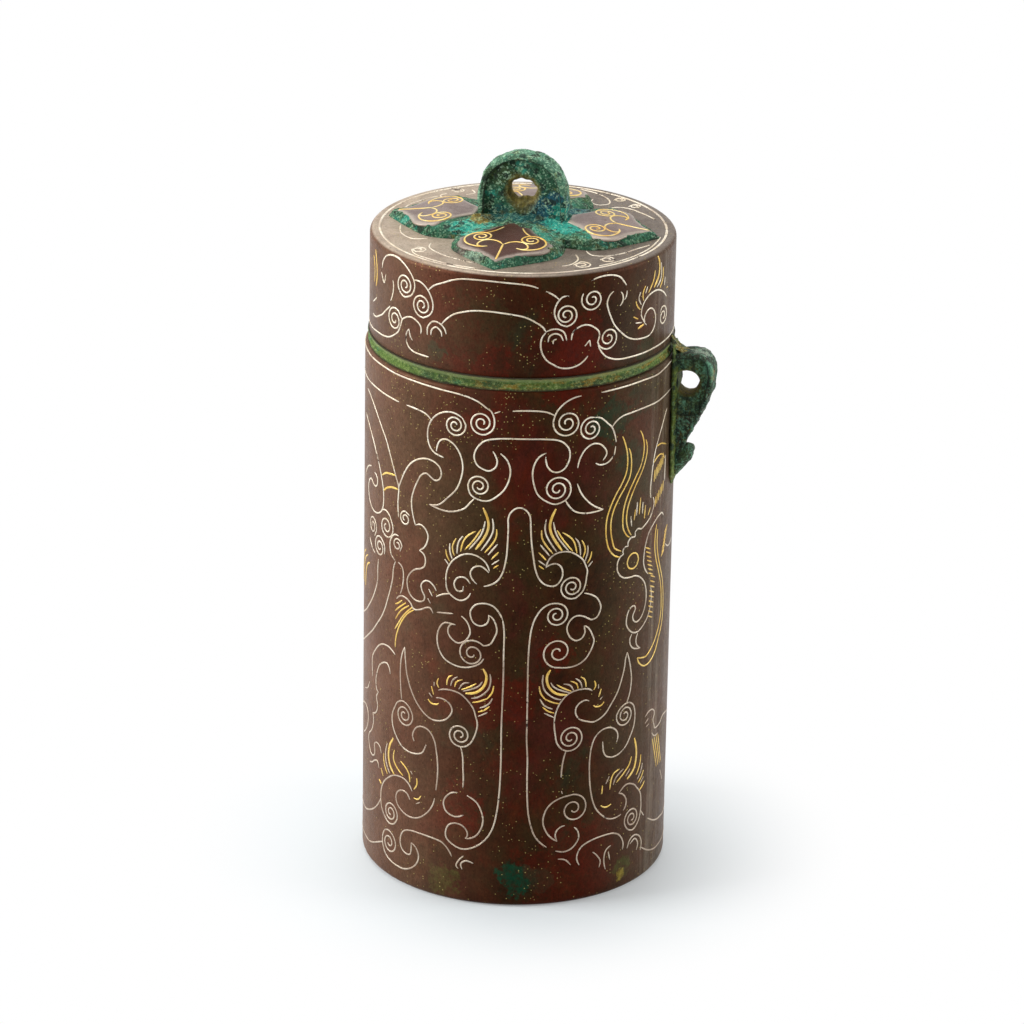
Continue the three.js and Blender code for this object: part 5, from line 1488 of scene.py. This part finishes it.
# A tapering horn: round sections are carried along a path of (out, height, half width, half depth)
def makeBeak(name, path, material):
    path = np.array(refined(path, 0.2))
    heading = np.gradient(path[:, :2], axis=0)
    heading /= np.hypot(*heading.T)[:, None]
    angle = np.arange(28) * 2 * math.pi / 28
    across = path[:, 2][:, None] * np.cos(angle)
    deep = path[:, 3][:, None] * np.sin(angle)
    out = path[:, 0][:, None] - heading[:, 1][:, None] * deep
    height = path[:, 1][:, None] + heading[:, 0][:, None] * deep
    points = lugPlace(out, across, height).reshape(-1, 3)
    last = (len(path) - 1) * len(angle)
    faces = gridFaces(len(path), len(angle), closeColumns=True)
    faces += [list(range(len(angle)))[::-1], list(range(last, last + len(angle)))]
    beak = makePiece(name, points, faces, material, "vessel")
    outward(beak)
    roughen(beak, lambda p: lumps(p, 1.0, 3, 2.0) * 0.22)


def makeLugTrimmings(crust, olive, ochre):
    base, top = lugShape["base"], lugShape["top"]
    beak = [(0.4, base + 0.8, 1.2, 0.6), (1.3, base + 2.9, 1.7, 1.3), (2.3, base + 4.9, 1.9, 1.7),
            (3.2, base + 5.7, 1.7, 1.2), (3.95, base + 6.1, 0.9, 0.5)]
    flange = [(0.1, base - 1.2, 0.5, 0.25), (0.3, base + 1, 2.3, 0.6), (0.45, base + 9, 3.0, 0.7),
              (0.45, top - 2.4, 3.3, 0.75), (0.3, top - 0.6, 2.8, 0.5), (0.0, top + 1.3, 1.8, 0.3)]
    bridge = [(-0.7, top + 2.5, 0.5, 0.2), (-0.2, top + 1.3, 1.2, 0.4), (0.6, top + 0.4, 1.7, 0.45),
              (1.7, top - 0.15, 1.7, 0.35), (2.9, top - 0.3, 1.0, 0.2)]
    makeBeak("lugBeak", beak, crust)
    makeBeak("lugFlange", flange, olive)
    makeBeak("ochreBridge", bridge, ochre)


# Patches of colour on the bronze: centre in millimetres, radius, finish and strength
bodyPatches = [
    (sidePoint(28.2, 0.8, 5.6), 4.0, "green", 0.95),
    (sidePoint(28.2, 5.6, 5.2), 3.0, "green", 0.6),
    (sidePoint(28.2, 17, 93), 5, "forest", 0.9),
    (sidePoint(28.2, 22, 84), 4, "forest", 0.7),
    (sidePoint(28.2, 26, 96), 5, "forest", 0.7),
    (sidePoint(28.2, 7, 100), 4, "red", 0.8),
    (sidePoint(28.2, -13, 4), 3.6, "moss", 0.7),
    (sidePoint(28.2, 22.5, 4.6), 2.6, "moss", 0.9),
    (sidePoint(28.2, 22, 3.2), 1.4, "ochre", 0.9),
    (sidePoint(28.2, 10, 6), 12, "red", 0.6),
    (sidePoint(28.2, -10, 19.5), 5, "red", 0.9),
    (sidePoint(28.2, -6.8, 94), 3.5, "red", 0.9),
    (sidePoint(28.2, 7, 50), 4, "red", 0.8),
    (sidePoint(28.2, -2, 41), 7, "red", 0.7),
    (sidePoint(28.2, 14, 62), 8, "umber", 0.6),
    (sidePoint(28.2, -14, 74), 9, "olive", 0.6),
]
lidPatches = [
    (sidePoint(27.5, -9, 106), 7, "red", 0.9),
    (sidePoint(27.5, 12, 108), 6, "red", 0.8),
    (sidePoint(27.5, -16, 105.5), 2.2, "green", 0.8),
    (sidePoint(27.5, -9, 112), 7, "olive", 0.8),
    (sidePoint(27.5, 26, 104), 3, "green", 0.6),
]
# Zones on the crust: blue low on the loop's right, turquoise in front, dark teal as painted shade along the
# loop's front foot, olive in the worn eye
topZones = [
    ((4.8, -2.5, 125.0), 4.2, "blue", 0.95),
    ((-4.5, -2.0, 124.2), 2.6, "shadeTeal", 0.8),
    ((0.5, -3.5, 122.8), 4.0, "shadeTeal", 0.9),
    ((8.0, -4.5, 123.0), 5.5, "turquoise", 0.95),
    ((-9.5, -6.5, 122.6), 4.5, "turquoise", 0.85),
    ((-7.5, -2.0, 128.0), 2.6, "jade", 0.7),
    ((10.5, 1.5, 122.4), 4.0, "blue", 0.7),
    ((-7.6, -2.6, 123.2), 2.4, "ochre", 0.95),
    ((-6.0, -1.5, 130.0), 3.0, "moss", 0.7),
    ((-8.5, -18.5, 121.8), 3.8, "chalk", 0.4),
    ((-10.0, -15.0, 121.8), 2.6, "rose", 0.8),
]
lugZones = [
    (sidePoint(28.6, 38.4, 90), 3.2, "olive", 0.6),
    (sidePoint(36.0, 46.0, 98), 2.6, "jade", 0.8),
    (sidePoint(33.5, 45.6, 101.6), 2.6, "chalk", 0.75),
]

bronze = bronzeMaterial("patinatedBronze", bodyPatches)
# The lid's flat top takes worn grey metal with painted sheen.
lidBronze = bronzeMaterial("lidBronze", lidPatches, greyTopAndSheen=0.75)
innerBronze = bronzeMaterial("innerBronze", [])
brownPlate = plateMaterial("brownPlate", "face", "stain", "rim")
# The side and back petals: the plate finish with painted sheen.
sheenPlate = plateMaterial("sheenPlate", "sheenFace", "sheenStain", "sheenRim")
crust = crustMaterial("turquoiseCrust", "green", "pale", topZones, 0.65, 0.5, rimTone="jade")
loopCrust = crustMaterial("loopCrust", "loop", "pale", topZones, 0.4, 0.85, rimTone="jade")
lugCrust = crustMaterial("lugCrust", "lug", "jade", lugZones, 0.45, 0.6, 0.75, "brown", 0.12)
oliveCrust = crustMaterial("oliveCrust", "flange", "jade", (), 0.6, 0.4, blueShare=0.1)
ochreCrust = crustMaterial("ochreCrust", "ochre", "pale", (), 0.9, 0.4)
band = bandMaterial()
silver = silverMaterial("wornSilver", 1.0, 0.05)
lidSilver = silverMaterial("lidSilver", 0.5, 0.04)
topSilver = silverMaterial("topSilver", 1.6, 0.09)
ringSilver = silverMaterial("ringSilver", 1.3, 0.06)
gold = goldMaterial("wornGold", 0.3)
petalGilt = goldMaterial("petalGold", 0.8)
print("materials done")


def dress(name, material):
    nodes[name].data.materials.clear()
    nodes[name].data.materials.append(material)


for name in nodes:
    dress(name, innerBronze)

makeVesselWall(bronze)
makeLidShell(lidBronze)
makeCollar(band)
makeQuatrefoil(crust)
# The front petal takes the plain plate finish, the others the one with painted sheen.
for side, degrees, neck in (("Front", -90, 5.0), ("Right", 0, 8.5), ("Back", 90, 5.0), ("Left", 180, 8.5)):
    makePetalPlate("petalPlate" + side, degrees, neck, brownPlate if side == "Front" else sheenPlate)
makeMound(crust)
makeLoop(loopCrust)
makeLug(lugCrust)
makeLugTrimmings(lugCrust, oliveCrust, ochreCrust)
print("bodies, loop and lug done")

halfTurn = (0, math.pi)
rimShape = {"radius": 25.7, "width": 1.5}
onBody, onLid = onDrum(shared["bodyRadius"]), onDrum(shared["lidRadius"])
bodySilver = (bodyTopBand + bodyArch + bodyLongLines + bodyMidPlumes + bodyLowScrolls
              + upperFeathers["silver"] + mirrored(upperFeathers["silver"], 0.2)
              + middleFeathers["silver"] + mirrored(middleFeathers["silver"], 0.2)
              + lowFeathers["silver"] + phoenixHeadSilver + phoenixBodySilver)
bodyGold = (upperFeathers["gold"] + mirrored(upperFeathers["gold"], 0.2)
            + middleFeathers["gold"] + mirrored(middleFeathers["gold"], 0.2)
            + lowFeathers["gold"] + phoenixHeadGold + hatches(hatchRows) + phoenixBodyGold)
def bothSides(*names):
    return [name + side for name in names for side in ("_front", "_back")]


inlaid = inlayPiece("vesselSilver", bodySilver, onBody, silver, "vessel", halfTurn)
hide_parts(*bothSides("cloud_arch", "cloud_line_left", "cloud_line_right", "shoulder_scroll"))
inlaid = inlayPiece("vesselGold", bodyGold, onBody, gold, "vessel", halfTurn)
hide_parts(*bothSides("phoenix_crest", "phoenix_neck"))
inlaid = inlayPiece("lidSideSilver", lidSideSilver, onLid, lidSilver, "lid", halfTurn)
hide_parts(*bothSides("lid_upper_line", "lid_lower_line"))
inlayPiece("lidSideGold", lidSideGold, onLid, gold, "lid", halfTurn)
inlayPiece("lidTopSilver", lidTopSilver, onTop(shared["lidTop"]), topSilver, "lid")
bearings = [math.radians(a) for a in range(0, 361, 5)]
rimWire = wire(*[(rimShape["radius"] * math.cos(a), rimShape["radius"] * math.sin(a)) for a in bearings],
               width=rimShape["width"])
inlaid = inlayPiece("rimRing", [rimWire], onTop(shared["lidTop"]), ringSilver, "lid")
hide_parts("lid_rim_ring")
petalStem = [wire((22.9, 0), (20, 0), (16.8, 0), width=1.3)]
petalGold = petalStem + petalScrollHalf + mirrored(petalScrollHalf, 0, 1)
for side, degrees in (("front", -90), ("right", 0), ("back", 90), ("left", 180)):
    flatPlate = onTop(shared["plateTop"], shared["lidTurn"] + math.radians(degrees))

    def onPlate(x, y, rise):
        return swell(flatPlate(x, y, rise))

    strokes = petalGold + petalTail + mirrored(petalTail, 0, 1) if side in ("front", "back") else petalGold
    inlaid = inlayPiece("petalScroll" + side.title(), strokes, onPlate, petalGilt, "lid")
    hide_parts("petal_scroll_" + side)
print("inlay done")

# Camera, fitted to the photograph's rims and silhouette
cameraPlace = {
    "distance": 0.935,
    "lookAtHeight": 0.06645,
    "elevation": 21.4136,
    "roll": 0.9964,
    "lens": 179.56,
    "shift": -0.00628,
}


def makeCamera():
    tilt = math.radians(cameraPlace["elevation"])
    camera = bpy.data.objects.new("camera", bpy.data.cameras.new("camera"))
    bpy.context.scene.collection.objects.link(camera)
    back = Vector((0, -math.cos(tilt), math.sin(tilt))) * cameraPlace["distance"]
    turn = Matrix.Rotation(math.pi / 2 - tilt, 4, "X")
    roll = Matrix.Rotation(math.radians(cameraPlace["roll"]), 4, "Z")
    target = Vector((0, 0, cameraPlace["lookAtHeight"]))
    camera.matrix_world = Matrix.Translation(target + back) @ turn @ roll
    camera.data.lens = cameraPlace["lens"]
    camera.data.sensor_width = 36
    camera.data.shift_x = cameraPlace["shift"]
    camera.data.clip_start = 0.01
    bpy.context.scene.camera = camera


# Floor, world and lamps
stageValues = {
    "floor": rgb("dfe7ea"),
    "white": (1, 1, 1, 1),
    "whiteNear": 0.22,
    "floorHalf": 1.5,
    "worldStrength": 0.3,
}
lamps = [
    {"place": (-0.92, -0.12, 0.5), "size": 0.5, "power": 10},
    {"place": (0.9, -0.05, 0.35), "size": 0.4, "power": 4},
    {"place": (-0.1, 0.3, 1.1), "size": 0.7, "power": 7},
]


# What the camera, mirrors and glass see, as against what the world and floor light
def seenRay(tree):
    path = tree.nodes.new("ShaderNodeLightPath")
    names = ("Is Camera Ray", "Is Glossy Ray", "Is Transmission Ray")
    rays = [Socket(tree, path.outputs[name]) for name in names]
    return (rays[0] + rays[1] + rays[2]).least(1.0)


# A white backdrop, while the world lights at its own strength
def makeWorld():
    world = bpy.data.worlds.new("world")
    world.use_nodes = True
    tree = world.node_tree
    background = tree.nodes["Background"]
    strength = seenRay(tree) * (1 - stageValues["worldStrength"]) + stageValues["worldStrength"]
    background.inputs[0].default_value = stageValues["white"]
    tree.links.new(strength.socket, background.inputs[1])
    bpy.context.scene.world = world


# The floor shows white away from the object, and keeps the object's shadow near it
def makeStage():
    half = stageValues["floorHalf"]
    mesh = bpy.data.meshes.new("floor")
    corners = [(-half, -half, 0), (half, -half, 0), (half, half, 0), (-half, half, 0)]
    mesh.from_pydata(corners, [], [(0, 1, 2, 3)])
    floor = bpy.data.objects.new("floor", mesh)
    bpy.context.scene.collection.objects.link(floor)
    material, shader, place = newMaterial("paleFloor")
    tree = material.node_tree
    away = place.node("ShaderNodeVectorMath", {"operation": "LENGTH"}, {0: place}, 1)
    white = away.step(0.026, 0.064) * (1 - stageValues["whiteNear"]) + stageValues["whiteNear"]
    glow = tree.nodes.new("ShaderNodeEmission")
    glow.inputs["Color"].default_value = stageValues["white"]
    mix = tree.nodes.new("ShaderNodeMixShader")
    tree.links.new((white * seenRay(tree)).socket, mix.inputs[0])
    tree.links.new(shader.outputs[0], mix.inputs[1])
    tree.links.new(glow.outputs[0], mix.inputs[2])
    tree.links.new(mix.outputs[0], tree.nodes["Material Output"].inputs[0])
    shader.inputs["Base Color"].default_value = stageValues["floor"]
    shader.inputs["Roughness"].default_value = 0.8
    mesh.materials.append(material)
    for lamp in lamps:
        data = bpy.data.lights.new("lamp", "AREA")
        data.size = lamp["size"]
        data.energy = lamp["power"]
        light = bpy.data.objects.new("lamp", data)
        light.location = lamp["place"]
        aim = Vector((0, 0, 0.07)) - Vector(lamp["place"])
        light.rotation_euler = aim.to_track_quat("-Z", "Y").to_euler()
        bpy.context.scene.collection.objects.link(light)


makeCamera()
makeWorld()
makeStage()
bpy.context.scene.view_settings.view_transform = "Standard"
print("camera and stage done")
